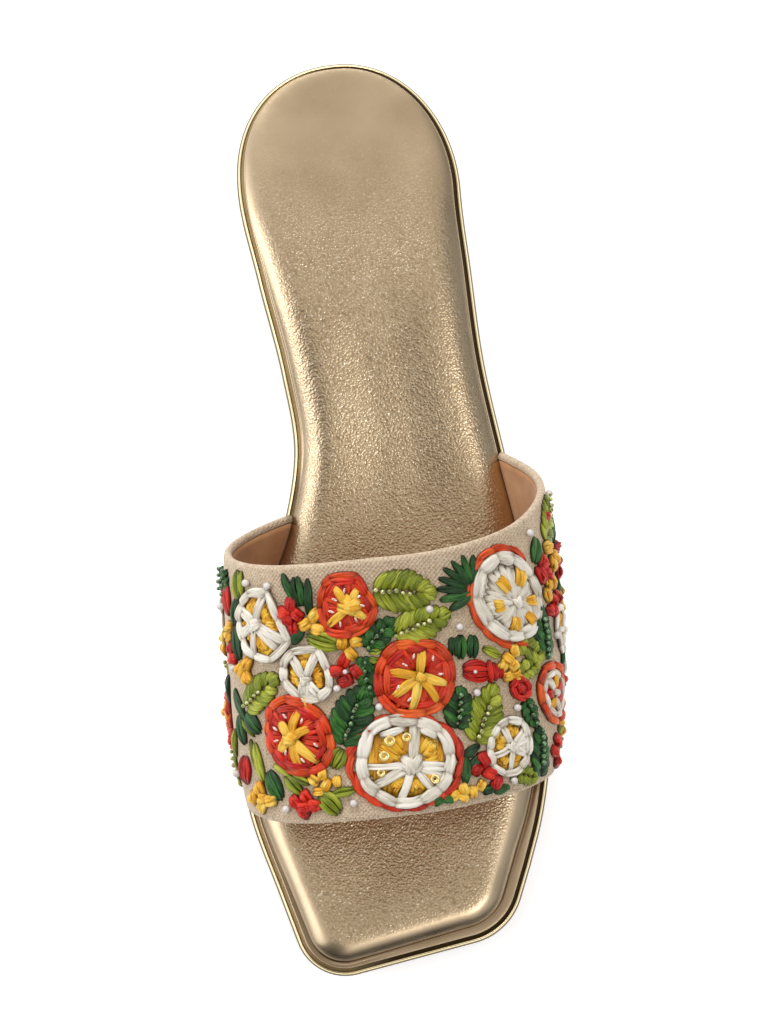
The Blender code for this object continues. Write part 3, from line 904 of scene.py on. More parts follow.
class Beads:
    """Small rounds sewn on, gathered into one mesh."""

    def __init__(self, rows, columns):
        self.rows, self.columns = rows, columns
        self.centres, self.sizes, self.ways = [], [], []

    def add(self, across, along, height, radius, long=1.0, way=0.0):
        """Long is how many times the radius it reaches along its way, in degrees."""
        self.centres.append((across, along, height))
        self.sizes.append((radius * long, radius, radius))
        self.ways.append(math.radians(way))

    def build(self, name, cloth, material):
        across, along, height = np.array(self.centres).T
        at = cloth.at(across, along, height)
        up = cloth.at(across, along, height + 1.0) - at
        ahead = cloth.at(across + np.cos(self.ways), along + np.sin(self.ways), height) - at
        points, faces = [], []
        n = self.columns
        for centre, normal, tangent, size in zip(at, up, ahead, self.sizes):
            z = Vector(normal).normalized()
            y = z.cross(Vector(tangent)).normalized()
            x = y.cross(z)
            first = len(points)
            for r in range(self.rows + 1):
                from_pole = math.pi * r / self.rows
                for c in range(1 if r in (0, self.rows) else n):
                    a = math.tau * c / n
                    around = math.sin(from_pole)
                    local = x * size[0] * around * math.cos(a) + y * size[1] * around * math.sin(a)
                    points.append(Vector(centre) + (local + z * size[2] * math.cos(from_pole)) * MM)
            last = len(points) - 1
            for c in range(n):
                on = (c + 1) % n
                faces.append((first, first + 1 + c, first + 1 + on))
                faces.append((last, last - n + on, last - n + c))
                for r in range(self.rows - 2):
                    low = first + 1 + r * n
                    faces.append((low + c, low + n + c, low + n + on, low + on))
        made = new_mesh(name, points, faces, material)


COLOURS = {  # the straw's darkest, middle and lightest tone
    "white": ((188, 178, 160), (240, 234, 220), (254, 251, 243)),
    "yellow": ((206, 130, 14), (246, 186, 44), (255, 226, 112)),
    "gold": ((192, 116, 8), (242, 176, 24), (255, 216, 76)),
    "orange": ((152, 32, 2), (224, 72, 12), (250, 118, 40)),
    "vermilion": ((112, 12, 0), (204, 40, 6), (240, 84, 26)),
    "red": ((104, 4, 0), (200, 20, 6), (238, 56, 24)),
    "dark_green": ((2, 24, 4), (18, 68, 18), (62, 128, 42)),
    "light_green": ((62, 76, 2), (134, 148, 22), (200, 204, 74)),
}
straw = {name: Stitches(seed) for seed, name in enumerate(COLOURS)}
beads = {"dark_green": Beads(6, 9), "light_green": Beads(6, 9)}
glints = Beads(6, 9)
pearls = Beads(12, 18)
spread = np.random.default_rng(11)


def polar(centre, angle, radii):
    """A point on an ellipse: angles in degrees, 0 towards the lateral side and 90 towards the toe."""
    a = math.radians(angle)
    return centre[0] + radii[0] * math.cos(a), centre[1] + radii[1] * math.sin(a)


def corners_around(centre, radii, count):
    """The corners of a slightly uneven polygon."""
    shares = (np.arange(count) + spread.uniform(-0.18, 0.18, count)) / count
    return tuple(polar(centre, 360 * share, radii) for share in shares)


def toward_rim(corners, heart, angle, share):
    """A place on the line from a slice's heart to its rim. A share of 1 is on the rim."""
    way = np.array(polar((0.0, 0.0), angle, (1.0, 1.0)))
    for start, end in zip(corners, corners[1:] + corners[:1]):
        side, gap = np.subtract(end, start), np.subtract(start, heart)
        turn = way[0] * side[1] - way[1] * side[0]
        reach = (gap[0] * side[1] - gap[1] * side[0]) / turn
        along = (gap[0] * way[1] - gap[1] * way[0]) / turn
        if reach > 0 and 0 <= along <= 1:
            return heart + way * reach * share
    raise ValueError("the heart is outside its rim")


def half_extent(corners):
    return np.ptp(corners, axis=0) / 2


def backing(colour, corners):
    """A low bed of wide parallel stitches under a slice, which hides the cloth."""
    width, height = 2.3, 0.6
    centre = (np.max(corners, axis=0) + np.min(corners, axis=0)) / 2
    radii = half_extent(corners) * 0.92
    turn = spread.uniform(0, 180)
    for shift in np.arange(-0.88, 0.89, 1.5 / max(radii)):
        reach = math.degrees(math.acos(shift))
        ends = [polar(centre, turn + side * reach, radii) for side in (-1, 1)]
        straw[colour].strand(ends, width, height, end=0.8, steps=6)


def lobes_around(colour, centre, radii, width, count, start=0.0, sweep=360.0):
    """A thin rind: strands laid end over end around an ellipse, each bowed out a little."""
    for k in range(count):
        middle = start + sweep * (k + 0.5 + spread.uniform(-0.14, 0.14)) / count
        half = 0.7 * sweep / count * spread.uniform(0.9, 1.15)
        t = np.linspace(-1, 1, 7)
        bow = 0.2 * width * (1 - t**2) - 0.2 * width * t
        path = [polar(centre, middle + half * s, (radii[0] + b, radii[1] + b)) for s, b in zip(t, bow)]
        straw[colour].strand(path, width * spread.uniform(0.82, 1.12), 1.0, 0.2 * (k % 2), end=0.3)


def rim(colours, corners, width, height, base=0.0):
    """Flat strands from corner to corner around a slice, each lapping the next a little."""
    t = np.linspace(-1, 1, 7)[:, None]
    for k, (start, end) in enumerate(zip(corners, corners[1:] + corners[:1])):
        start, end = np.array(start), np.array(end)
        way = end - start
        bow = np.array([way[1], -way[0]]) * 0.07
        path = (start + end) / 2 + way * t * 0.62 + bow * (1 - t**2)
        colour = colours[spread.integers(len(colours))]
        wide, high = width * spread.uniform(0.88, 1.12), height * spread.uniform(0.9, 1.1)
        straw[colour].strand(path, wide, high, base + 0.3 * (k % 2), end=0.72)


def flesh(colours, corners, heart, sector, reach, width, height, base=0.0):
    """Strands from near a slice's heart to near its rim, in the sector between two directions. Reach
    is where they start and end, as shares of the way to the rim."""
    start, end = sector
    inner, outer = reach
    longest = np.linalg.norm(toward_rim(corners, heart, (start + end) / 2, outer) - heart)
    count = max(2, int(round(math.radians(end - start) * longest / (width * 0.92))))
    for k in range(count):
        angle = start + (end - start) * (k + 0.5) / count
        near = toward_rim(corners, heart, angle, inner + spread.uniform(0, 0.18))
        far = toward_rim(corners, heart, angle, outer * spread.uniform(0.88, 1.03))
        colour = colours[spread.integers(len(colours))]
        straw[colour].strand([near, far], width * spread.uniform(0.85, 1.15), height, base, end=0.5)


def crossing(colour, centre, length, width, height, count, base):
    """A heap of short thick stitches that cross at one place."""
    turn = spread.uniform(0, 180)
    for k in range(count):
        angle = turn + 180 * k / count + spread.uniform(-12, 12)
        off = polar(centre, spread.uniform(0, 360), (0.14 * length,) * 2)
        ends = [polar(off, angle + side, (length / 2,) * 2) for side in (0, 180)]
        wide = width * spread.uniform(0.85, 1.1)
        straw[colour].strand(ends, wide, height, base + 0.12 * k, end=0.55, steps=6)


def white_slice(corners, heart, width, spokes):
    """A slice of a pale citrus: a rim of flat white strands of one width, white spokes with widths
    of their own, and pockets of yellow flesh between the spokes."""
    size = half_extent(corners).mean()
    narrowest = 12
    backing("gold", corners)
    for (start, wide), (end, next_wide) in zip(spokes, spokes[1:] + spokes[:1]):
        start += math.degrees(wide / (1.2 * size))
        end += 360.0 * (end < start) - math.degrees(next_wide / (1.2 * size))
        if end - start > narrowest:
            flesh(("gold", "yellow", "gold"), corners, heart, (start, end), (0.25, 0.8), 1.6, 1.1, base=0.2)
            puff = toward_rim(corners, heart, (start + end) / 2, 0.6)
            straw[("yellow", "gold")[spread.integers(2)]].knot(*puff, 0.06 * size + 0.5, base=0.6)
    rim(("white",), corners, width, 1.4, base=0.3)
    for angle, wide in spokes:
        ends = [heart, toward_rim(corners, heart, angle, 0.98)]
        straw["white"].strand(ends, wide, 1.4, base=0.6, end=0.85)
    crossing("white", heart, 0.54 * size, 0.25 * size, 1.0, 5, base=1.2)


def red_slice(corners, heart, star, arms):
    """A slice of a red fruit: an orange rim, deep red flesh with a few glass tubes, and a yellow star
    of thick straws. Star is how wide the star's heart is."""
    size = half_extent(corners).mean()
    wide = 0.17 * size + 1.0
    backing("red", corners)
    flesh(("vermilion", "red", "vermilion"), corners, heart, (0.0, 360.0), (0.16, 0.98), 1.6, 1.3, base=0.5)
    inner = tuple(toward_rim(corners, heart, angle, 0.84) for angle in range(20, 380, 45))
    rim(("vermilion", "red"), inner, wide * 0.75, 1.3, base=0.6)
    rim(("orange", "orange", "vermilion"), corners, wide, 1.6)
    for angle in range(10, 360, 51):
        turn = angle + spread.uniform(-12, 12)
        at = toward_rim(corners, heart, turn, spread.uniform(0.5, 0.68))
        glints.add(*at, 1.85, 0.38, long=2.4, way=turn + spread.uniform(-40, 40))
    for tip in arms:
        straw["yellow"].strand([heart, tip], 0.17 * size + 1.1, 1.3, base=1.2, end=0.6, point=0.12)
    crossing("yellow", heart, star, 0.42 * star, 1.1, 5, base=1.8)


def leaf(colour, base, tip, width, pairs, bead_row):
    """Slanting stitches on both sides of a midrib. Bead_row is the stretch of the midrib that carries
    beads, as two shares of its length, or None."""
    stitched = 0.84  # the share of the midrib that stitches start from
    base, tip = np.array(base), np.array(tip)
    way = tip - base
    length = np.linalg.norm(way)
    side = np.array([-way[1], way[0]]) / length
    pitch = stitched * length / pairs
    for sign in (-1, 1):
        for k in range(pairs):
            share = stitched * (k + 0.3) / pairs
            reach = min(0.97, 0.24 + 0.96 * share + spread.uniform(-0.015, 0.02))
            half = width / 2 * math.sin(math.pi * min(1.0, 0.14 + 0.86 * reach) ** 1.25) ** 0.7
            half *= spread.uniform(0.93, 1.06)
            start = base + way * share + side * sign * 0.1
            end = base + way * reach + side * sign * half
            bow = (start + end) / 2 + side * sign * half * 0.1 - way * 0.012
            straw[colour].strand([start, bow, end], pitch * 1.34, 1.15, 0.3 * (k % 2), end=0.26, steps=7)
    straw[colour].strand([base + way * 0.74, tip], pitch * 1.1, 1.3, end=0.4, point=0.4)
    if bead_row:
        start, end = bead_row
        count = max(3, int(length * (end - start) / 1.35))
        for share in np.linspace(start, end, count):
            at = base + way * share + side * spread.uniform(-0.35, 0.35)
            beads[colour].add(*at, 1.5, spread.uniform(0.55, 0.74))


def blade(colour, base, tip, width, strands):
    """A narrow leaf of one or a few long straws."""
    base, tip = np.array(base), np.array(tip)
    way = tip - base
    side = np.array([-way[1], way[0]]) / np.linalg.norm(way)
    t = np.linspace(0, 1, 7)[:, None]
    for k in range(strands):
        shift = (k - (strands - 1) / 2) * width / strands
        start = base + side * shift * 0.45
        end = tip + side * shift * 0.55 - way * 0.05 * abs(k - (strands - 1) / 2)
        path = start * (1 - t) + end * t + side * shift * 0.62 * np.sin(math.pi * t)
        straw[colour].strand(path, width / strands * 1.12, 1.35, 0.12 * (k % 2), end=0.34, point=0.25)


def cluster(colour, radius, knots):
    """A small flower or a few berries: a knot at each place."""
    for at in knots:
        straw[colour].knot(*at, radius * spread.uniform(1.02, 1.2))


def rosette(centre, radius):
    """A round flower of curled red straws."""
    for k in range(6):
        angles = np.linspace(60 * k, 60 * k + 88, 6)
        reach = np.linspace(0.8, 0.6, 6) * radius
        path = [polar(centre, a, (r, r)) for a, r in zip(angles, reach)]
        straw["red"].strand(path, radius * 0.5, 1.9, end=0.5)
    straw["red"].knot(*centre, radius * 0.5, base=0.8)


def tulip(base, tip, width):
    """A cup of long straws with a wider cross stitch at its mouth."""
    base, tip = np.array(base), np.array(tip)
    blade("red", base, base + (tip - base) * 0.72, width, 4)
    way = (tip - base) / np.linalg.norm(tip - base)
    side = np.array([-way[1], way[0]])
    for k, half in enumerate((0.52, 0.42, 0.3)):
        at = base + (tip - base) * (0.66 + 0.13 * k)
        straw["red"].strand([at - side * width * half, at + side * width * half], 1.7, 1.8, end=0.5)


# Slices: the corners of the rim, the heart where the spokes meet, the width of the rim's strands,
# and each spoke's direction and width.
WHITE_COLUMNS = "corners heart width spokes"
WHITE_SLICES = (
    (
        (
            (-33.5, 149.5), (-26.5, 150.0), (-24.0, 157.0), (-21.5, 163.0), (-27.5, 167.0), (-33.0, 165.5),
            (-37.0, 161.0), (-38.0, 156.0), (-36.5, 152.0),
        ),
        (-31.5, 157.5), 2.4, ((-62, 2.7), (30, 2.8), (45, 2.8), (101, 1.9), (160, 3.0), (222, 2.8)),
    ),
    (
        (
            (-20.5, 166.0), (-13.5, 166.0), (-11.5, 171.0), (-11.5, 176.0), (-14.5, 178.5), (-20.0, 177.5),
            (-23.5, 173.0), (-23.5, 169.5),
        ),
        (-17.5, 173.5), 2.4, ((52, 2.4), (74, 2.6), (96, 2.6), (118, 2.4), (243, 2.5), (298, 2.5)),
    ),
    (
        (
            (33.0, 189.0), (36.0, 187.5), (40.0, 188.0), (42.0, 192.0), (41.0, 196.5), (39.0, 200.0),
            (34.0, 201.5), (30.5, 199.0), (30.0, 195.0), (31.0, 191.5),
        ),
        (36.5, 194.5), 2.2,
        ((5, 2.3), (28, 2.3), (100, 1.6), (158, 1.9), (245, 2.0), (315, 2.3), (340, 2.4)),
    ),
    (
        corners_around((63.6, 163.0), (4.6, 6.0), 8),
        (63.6, 163.0), 1.7, ((20, 1.6), (100, 1.6), (170, 1.6), (300, 1.6)),
    ),
    (
        corners_around((73.4, 171.2), (5.0, 5.6), 8),
        (73.4, 170.8), 1.7, ((10, 1.6), (80, 1.6), (150, 1.6), (260, 2.2)),
    ),
    (
        corners_around((-66.0, 152.0), (5.9, 6.3), 8),
        (-66.0, 152.4), 1.9, ((22, 1.6), (95, 1.6), (160, 1.6), (250, 2.2)),
    ),
)
# Red slices: the corners, the heart, how wide the heart is, and the tips of the star's arms.
RED_COLUMNS = "corners heart star arms"
RED_SLICES = (
    (
        (
            (-7.5, 148.0), (-1.0, 148.0), (1.0, 152.0), (3.0, 156.0), (0.5, 160.5), (-4.0, 162.5),
            (-10.0, 161.0), (-11.0, 155.0), (-9.5, 150.0),
        ),
        (-3.6, 155.2), 5.8, ((-7.0, 149.6), (-0.6, 150.6), (-9.8, 160.2), (0.8, 159.2), (-0.8, 154.0)),
    ),
    (
        (
            (4.0, 169.5), (7.5, 166.5), (12.5, 166.5), (18.0, 167.0), (21.0, 171.0), (21.0, 176.5),
            (18.0, 182.0), (13.0, 184.0), (5.5, 183.5), (2.0, 179.0), (2.0, 173.5),
        ),
        (12.8, 174.4), 3.4,
        ((14.0, 166.8), (4.2, 173.0), (4.6, 179.8), (9.4, 183.8), (17.0, 182.0), (20.0, 177.2)),
    ),
    (
        (
            (-29.0, 180.0), (-24.0, 178.0), (-19.0, 180.0), (-14.5, 183.5), (-13.0, 188.0), (-13.0, 192.5),
            (-15.0, 196.0), (-19.5, 197.5), (-25.5, 196.0), (-29.5, 191.5), (-30.5, 187.0), (-30.0, 183.0),
        ),
        (-23.6, 188.0), 4.8,
        ((-20.4, 180.6), (-17.2, 185.8), (-16.4, 195.4), (-21.6, 196.6), (-27.4, 192.0), (-26.4, 183.2)),
    ),
    (
        corners_around((81.0, 147.0), (5.8, 6.2), 9),
        (81.0, 146.6), 3.0, ((77.0, 142.0), (84.6, 143.0), (86.0, 148.6), (81.0, 152.4), (76.0, 149.0)),
    ),
    (
        corners_around((-60.0, 179.0), (5.2, 5.6), 9),
        (-60.0, 178.6), 2.8,
        ((-63.4, 174.4), (-56.6, 175.0), (-55.4, 181.0), (-60.4, 183.8), (-64.2, 180.0)),
    ),
)

LEAF_COLUMNS = "colour base tip width pairs bead_row"
LEAVES = (
    ("light_green", (3.0, 151.8), (20.4, 153.4), 11.4, 8, (0.05, 0.55)),
    ("light_green", (7.2, 163.6), (23.4, 158.4), 8.6, 7, (0.02, 0.6)),
    ("dark_green", (-0.9, 167.0), (8.0, 159.2), 6.2, 5, (0.1, 0.6)),
    ("dark_green", (-1.6, 168.4), (-0.6, 180.2), 4.6, 6, (0.15, 0.7)),
    ("light_green", (-38.8, 179.0), (-25.6, 171.4), 9.0, 6, (0.05, 0.5)),
    ("dark_green", (-9.8, 191.8), (-2.2, 176.0), 11.4, 7, (0.2, 0.68)),
    ("dark_green", (21.4, 189.4), (23.8, 177.8), 8.6, 6, (0.3, 0.8)),
    ("light_green", (25.8, 193.2), (33.6, 177.4), 9.6, 7, (0.12, 0.6)),
    ("dark_green", (42.4, 182.2), (45.4, 190.0), 5.4, 4, (0.2, 0.8)),
    ("dark_green", (46.4, 203.0), (46.8, 189.0), 7.0, 7, (0.3, 0.9)),
    ("dark_green", (52.4, 172.0), (51.4, 156.2), 6.4, 8, (0.1, 0.7)),
    ("light_green", (42.4, 167.0), (51.4, 171.4), 6.0, 4, None),
    ("light_green", (41.4, 175.8), (49.2, 171.6), 5.2, 4, None),
    ("light_green", (38.0, 201.6), (45.4, 203.2), 5.0, 4, None),
    ("dark_green", (-48.8, 148.6), (-47.4, 141.4), 5.6, 4, (0.1, 0.95)),
    ("light_green", (59.8, 140.4), (68.4, 127.2), 7.4, 7, (0.55, 1.0)),
    ("dark_green", (74.0, 160.6), (84.6, 157.4), 6.8, 5, (0.15, 0.7)),
    ("light_green", (80.6, 138.4), (84.0, 126.4), 7.0, 6, (0.3, 0.8)),
    ("dark_green", (70.2, 184.0), (66.6, 196.4), 7.0, 6, (0.2, 0.8)),
    ("light_green", (-60.6, 164.6), (-69.8, 168.4), 6.6, 4, (0.1, 0.6)),
    ("dark_green", (-57.2, 147.0), (-59.6, 139.4), 5.0, 4, (0.2, 0.9)),
    ("light_green", (-56.6, 188.4), (-59.8, 199.0), 6.0, 5, (0.1, 0.6)),
)
BLADE_COLUMNS = "base tip width strands"
BLADES = {
    "light_green": (
        ((-38.6, 150.4), (-39.4, 142.4), 4.4, 3), ((-36.6, 150.0), (-37.0, 143.0), 2.0, 1),
        ((-7.4, 165.6), (-16.4, 162.0), 4.8, 4), ((-9.6, 192.4), (-13.0, 197.4), 4.4, 3),
        ((-16.8, 203.6), (-11.6, 209.4), 5.0, 3), ((-13.6, 204.2), (-7.0, 203.2), 2.6, 2),
        ((-36.7, 188.5), (-34.2, 199.5), 2.6, 2), ((-38.4, 187.4), (-35.6, 197.4), 1.6, 1),
        ((-30.3, 194.8), (-25.0, 198.4), 1.7, 1), ((-26.8, 198.0), (-22.0, 203.4), 3.2, 2),
        ((-24.6, 198.0), (-19.4, 201.0), 2.2, 2), ((-42.0, 181.5), (-36.4, 187.0), 1.0, 1),
        ((31.0, 168.4), (36.2, 170.6), 2.6, 2), ((0.2, 168.0), (3.6, 167.2), 1.7, 1),
        ((-0.4, 169.6), (2.6, 170.0), 1.7, 1), ((58.0, 190.6), (61.4, 186.4), 3.0, 2),
        ((69.0, 176.4), (70.6, 182.6), 3.2, 2), ((-71.0, 140.2), (-69.6, 133.6), 3.2, 2),
        ((-47.4, 184.0), (-49.6, 191.4), 3.0, 2),
    ),
    "dark_green": (
        ((-39.6, 149.6), (-41.8, 157.0), 3.4, 2), ((-41.6, 156.6), (-40.2, 166.4), 3.6, 2),
        ((-18.0, 153.0), (-21.2, 145.4), 2.5, 1), ((-16.6, 154.4), (-17.4, 146.4), 3.6, 2),
        ((-14.4, 157.6), (-14.0, 147.4), 2.4, 1), ((-17.0, 160.2), (-20.4, 164.0), 3.0, 1),
        ((30.4, 151.4), (31.6, 144.0), 2.3, 1), ((30.2, 151.6), (28.4, 144.0), 2.2, 1),
        ((30.0, 151.8), (25.2, 145.4), 2.3, 1), ((30.0, 152.2), (22.6, 147.2), 2.3, 1),
        ((29.8, 152.6), (21.0, 149.8), 2.3, 1), ((29.8, 153.0), (20.0, 152.6), 2.2, 1),
        ((29.8, 153.4), (20.6, 155.6), 2.3, 1), ((30.0, 154.0), (23.0, 158.2), 2.3, 1),
        ((23.2, 165.2), (22.6, 170.2), 3.2, 2), ((25.2, 164.6), (24.4, 171.2), 3.0, 2),
        ((28.6, 164.8), (27.6, 171.0), 3.4, 2), ((52.2, 146.2), (54.8, 139.2), 3.8, 2),
        ((67.0, 139.6), (69.0, 133.8), 2.6, 2), ((67.6, 149.6), (66.0, 153.4), 2.8, 1),
        ((50.0, 158.4), (47.4, 166.4), 3.0, 1), ((66.4, 168.4), (64.0, 173.0), 3.6, 2),
        ((-45.2, 173.4), (-39.4, 182.6), 2.6, 1), ((-39.2, 180.2), (-33.8, 186.2), 4.2, 3),
        ((-43.2, 180.4), (-41.0, 188.8), 3.4, 2), ((-32.4, 196.4), (-28.6, 204.6), 4.4, 3),
        ((22.4, 203.8), (23.2, 196.2), 2.6, 1), ((23.6, 199.6), (28.0, 196.2), 2.4, 1),
        ((22.4, 196.6), (27.2, 193.6), 2.4, 1), ((13.4, 208.8), (16.4, 207.0), 2.2, 1),
        ((16.2, 207.2), (19.0, 208.2), 2.2, 1), ((27.2, 206.6), (30.6, 204.6), 2.4, 1),
        ((30.4, 206.2), (35.4, 205.0), 2.4, 1), ((87.0, 134.6), (88.6, 128.6), 3.0, 2),
        ((72.6, 138.6), (74.4, 131.0), 3.2, 2), ((-50.8, 169.4), (-54.6, 176.6), 3.4, 2),
    ),
}
CLUSTER_COLUMNS = "colour radius knots"
CLUSTERS = (
    ("yellow", 2.2, ((-36.2, 167.6), (-39.4, 169.0), (-36.6, 171.0))),
    ("red", 1.9, ((-21.6, 155.4), (-19.2, 153.6), (-17.8, 156.2), (-20.6, 157.4), (-19.2, 159.8))),
    ("yellow", 1.8, ((-13.1, 157.2), (-15.9, 159.3), (-12.6, 160.4))),
    ("yellow", 1.8, ((-6.5, 164.6), (-2.9, 164.9), (-4.6, 167.6))),
    ("red", 2.0, ((-6.4, 169.2), (-8.9, 171.8), (-3.6, 172.4), (-6.9, 174.8))),
    ("yellow", 2.2, ((60.2, 142.0), (62.2, 146.0), (64.6, 143.6))),
    ("red", 2.1, ((56.2, 145.8), (54.2, 149.2), (57.4, 148.6))),
    ("red", 2.1, ((69.6, 141.2), (70.4, 144.8), (67.6, 147.6))),
    ("yellow", 2.0, ((57.4, 151.4), (56.2, 154.4), (60.4, 150.8))),
    ("red", 1.9, ((59.4, 155.6), (63.0, 154.8), (59.0, 158.4), (56.6, 158.6))),
    ("yellow", 1.6, (
        (40.7, 169.2), (38.4, 171.2), (36.4, 173.2), (39.8, 173.2), (37.6, 176.0), (40.4, 175.8),
    )),
    ("yellow", 1.9, ((-35.8, 200.6), (-39.0, 202.8), (-32.4, 204.4), (-35.8, 205.8), (-35.6, 203.2))),
    ("yellow", 1.6, ((-18.2, 199.8), (-15.6, 198.6), (-14.8, 201.6), (-11.8, 200.8), (-17.2, 203.0))),
    ("red", 1.9, ((-24.1, 205.0), (-20.8, 204.0), (-18.8, 206.4), (-21.8, 208.2), (-22.0, 206.8))),
    ("red", 1.9, ((28.2, 197.6), (26.0, 200.2), (29.6, 201.2), (31.4, 203.8))),
    ("yellow", 1.6, ((19.4, 206.8), (22.0, 205.2), (21.6, 207.2), (24.4, 206.0), (26.8, 204.4))),
    ("red", 1.9, ((56.0, 193.0), (54.2, 196.0), (56.6, 198.4))),
    ("yellow", 1.9, ((-45.0, 156.6), (-45.8, 159.6))),
    ("red", 1.8, ((-44.4, 162.4), (-44.0, 165.2), (64.4, 177.0), (62.8, 133.4))),
    ("yellow", 1.8, ((61.6, 190.2), (58.4, 187.6), (70.8, 156.4), (73.2, 154.6), (72.2, 152.4))),
    ("red", 1.8, (
        (68.6, 190.2), (72.4, 189.4), (70.8, 192.6), (-53.4, 184.6), (-56.6, 185.8), (-54.0, 187.6),
    )),
    ("yellow", 1.8, (
        (82.6, 158.4), (80.4, 161.0), (82.8, 162.4), (-58.0, 160.4), (-55.2, 158.8), (-56.0, 161.8),
    )),
    ("red", 1.8, (
        (72.4, 143.8), (73.6, 140.8), (-67.6, 161.4), (-70.4, 159.4), (-68.4, 144.0), (-65.8, 142.4),
    )),
)
PEARL_PLACES = (
    (-34.0, 146.4), (-26.0, 148.0), (17.4, 157.4), (25.0, 162.4), (1.1, 182.0),
    (-9.3, 176.4), (-27.0, 206.8), (-7.8, 206.8), (27.7, 179.8), (39.2, 184.2),
    (36.4, 203.4), (51.2, 138.2), (58.4, 165.0), (82.0, 167.4), (76.6, 181.0),
    (74.8, 126.4), (-54.6, 150.6), (-61.4, 170.6), (-52.4, 195.6), (-43.2, 168.0),
)
SMALL_PEARLS = (  # on flowers: across, along, height and radius
    (-6.5, 172.0, 1.9, 0.7), (27.6, 174.2, 1.7, 0.55),
)
SEQUIN_HEIGHT = 1.45
SEQUINS = (  # on the big slice: across, along and radius
    (2.9, 191.0, 1.5), (7.4, 190.3, 1.25), (1.1, 194.9, 1.4), (-0.1, 199.3, 1.1), (13.9, 201.8, 1.3),
)
BIG_CORNERS = (
    (-2.0, 188.5), (3.5, 186.0), (10.5, 186.5), (16.5, 189.5), (18.5, 195.5), (17.5, 200.5),
    (15.0, 204.5), (10.0, 207.0), (3.5, 207.5), (-1.5, 204.5), (-4.5, 200.5), (-4.5, 195.0),
)


def large_slice():
    """The big slice at the front, with a vermilion rind and two strands inside its white rim."""
    lobes_around("vermilion", (6.8, 196.9), (14.6, 11.9), 2.4, 15)
    heart = (8.5, 198.0)
    spokes = ((6, 2.9), (22, 2.0), (55, 2.1), (113, 2.3), (156, 2.7), (182, 1.9), (277, 2.9))
    white_slice(BIG_CORNERS, heart, 3.2, spokes)
    for start, end, share in ((-134, -96, 0.85), (-76, -44, 0.88)):
        ends = [toward_rim(BIG_CORNERS, heart, angle, share) for angle in (start, end)]
        straw["white"].strand(ends, 2.1, 1.2, base=0.5, end=0.6)


def rinded_slice():
    """The slice at the lateral shoulder: wide white pith with small pockets of yellow flesh, and an
    orange rind around most of it."""
    centre, heart = (41.0, 155.0), (42.6, 156.4)
    lobes_around("orange", centre, (11.7, 12.5), 2.0, 9, start=62.0, sweep=250.0)
    corners = corners_around(centre, (9.7, 10.2), 10)
    backing("white", corners)
    flesh(("white",), corners, heart, (0.0, 360.0), (0.1, 0.9), 2.4, 1.3, base=0.3)
    rim(("white",), corners, 3.6, 1.7)
    for angle in (-100, -42, 20, 78, 128, 185, 222):
        straw["white"].strand([heart, toward_rim(corners, heart, angle, 0.8)], 2.3, 1.6, base=0.3, end=0.7)
    pockets = (  # direction from the heart, distance, length and width of each pocket of flesh
        (-128, 5.6, 5.2, 3.6), (-72, 6.6, 5.6, 3.8), (-4, 5.2, 4.8, 3.2),
        (48, 5.8, 4.4, 3.4), (104, 5.8, 4.4, 3.2), (172, 5.6, 3.8, 3.8),
    )
    for angle, distance, length, width in pockets:
        near, far = (np.array(polar(heart, angle, (distance + length * end,) * 2)) for end in (-0.5, 0.5))
        for k in (-1, 0, 1):
            shift = np.array(polar((0, 0), angle + 90, (k * width / 3,) * 2))
            ends = [near + shift * 0.5, far + shift]
            straw["yellow" if k else "gold"].strand(ends, width / 2.5, 1.2, base=1.3, end=0.4)
    crossing("white", heart, 3.8, 1.5, 1.4, 4, base=0.9)


def lateral_slice():
    """A slice on the lateral side, with red and yellow flesh between white pith."""
    centre = (54.8, 180.4)
    corners = corners_around(centre, (7.0, 7.5), 9)
    backing("vermilion", corners)
    rim(("orange",), corners, 2.0, 1.7)
    rim(("white",), corners_around(centre, (5.2, 5.7), 8), 1.6, 1.6)
    for k in range(7):
        angle = 20 + 360 / 7 * k
        near, far = polar(centre, angle, (0.8, 0.8)), polar(centre, angle, (5.0, 5.4))
        straw[("red", "white", "yellow")[k % 3]].strand([near, far], 2.2, 1.7, end=0.6)
    crossing("white", centre, 2.6, 1.1, 1.2, 3, base=1.0)


def embroider():
    large_slice()
    rinded_slice()
    lateral_slice()
    for row in WHITE_SLICES:
        white_slice(**named(WHITE_COLUMNS, row))
    for row in RED_SLICES:
        red_slice(**named(RED_COLUMNS, row))
    for row in LEAVES:
        leaf(**named(LEAF_COLUMNS, row))
    for colour, rows in BLADES.items():
        for row in rows:
            blade(colour, **named(BLADE_COLUMNS, row))
    for row in CLUSTERS:
        cluster(**named(CLUSTER_COLUMNS, row))
    rosette((41.0, 179.2), 3.6)
    tulip((24.6, 174.0), (36.2, 174.8), 5.8)
    blade("red", (-48.4, 144.4), (-45.2, 154.0), 4.8, 3)
    blade("red", (-42.0, 191.6), (-43.2, 199.4), 5.6, 4)
    blade("yellow", (-18.6, 177.4), (-18.0, 181.0), 3.6, 3)
    for at in PEARL_PLACES:
        pearls.add(*at, 0.95, 1.08)
    for across, along, height, radius in SMALL_PEARLS:
        pearls.add(across, along, height, radius)


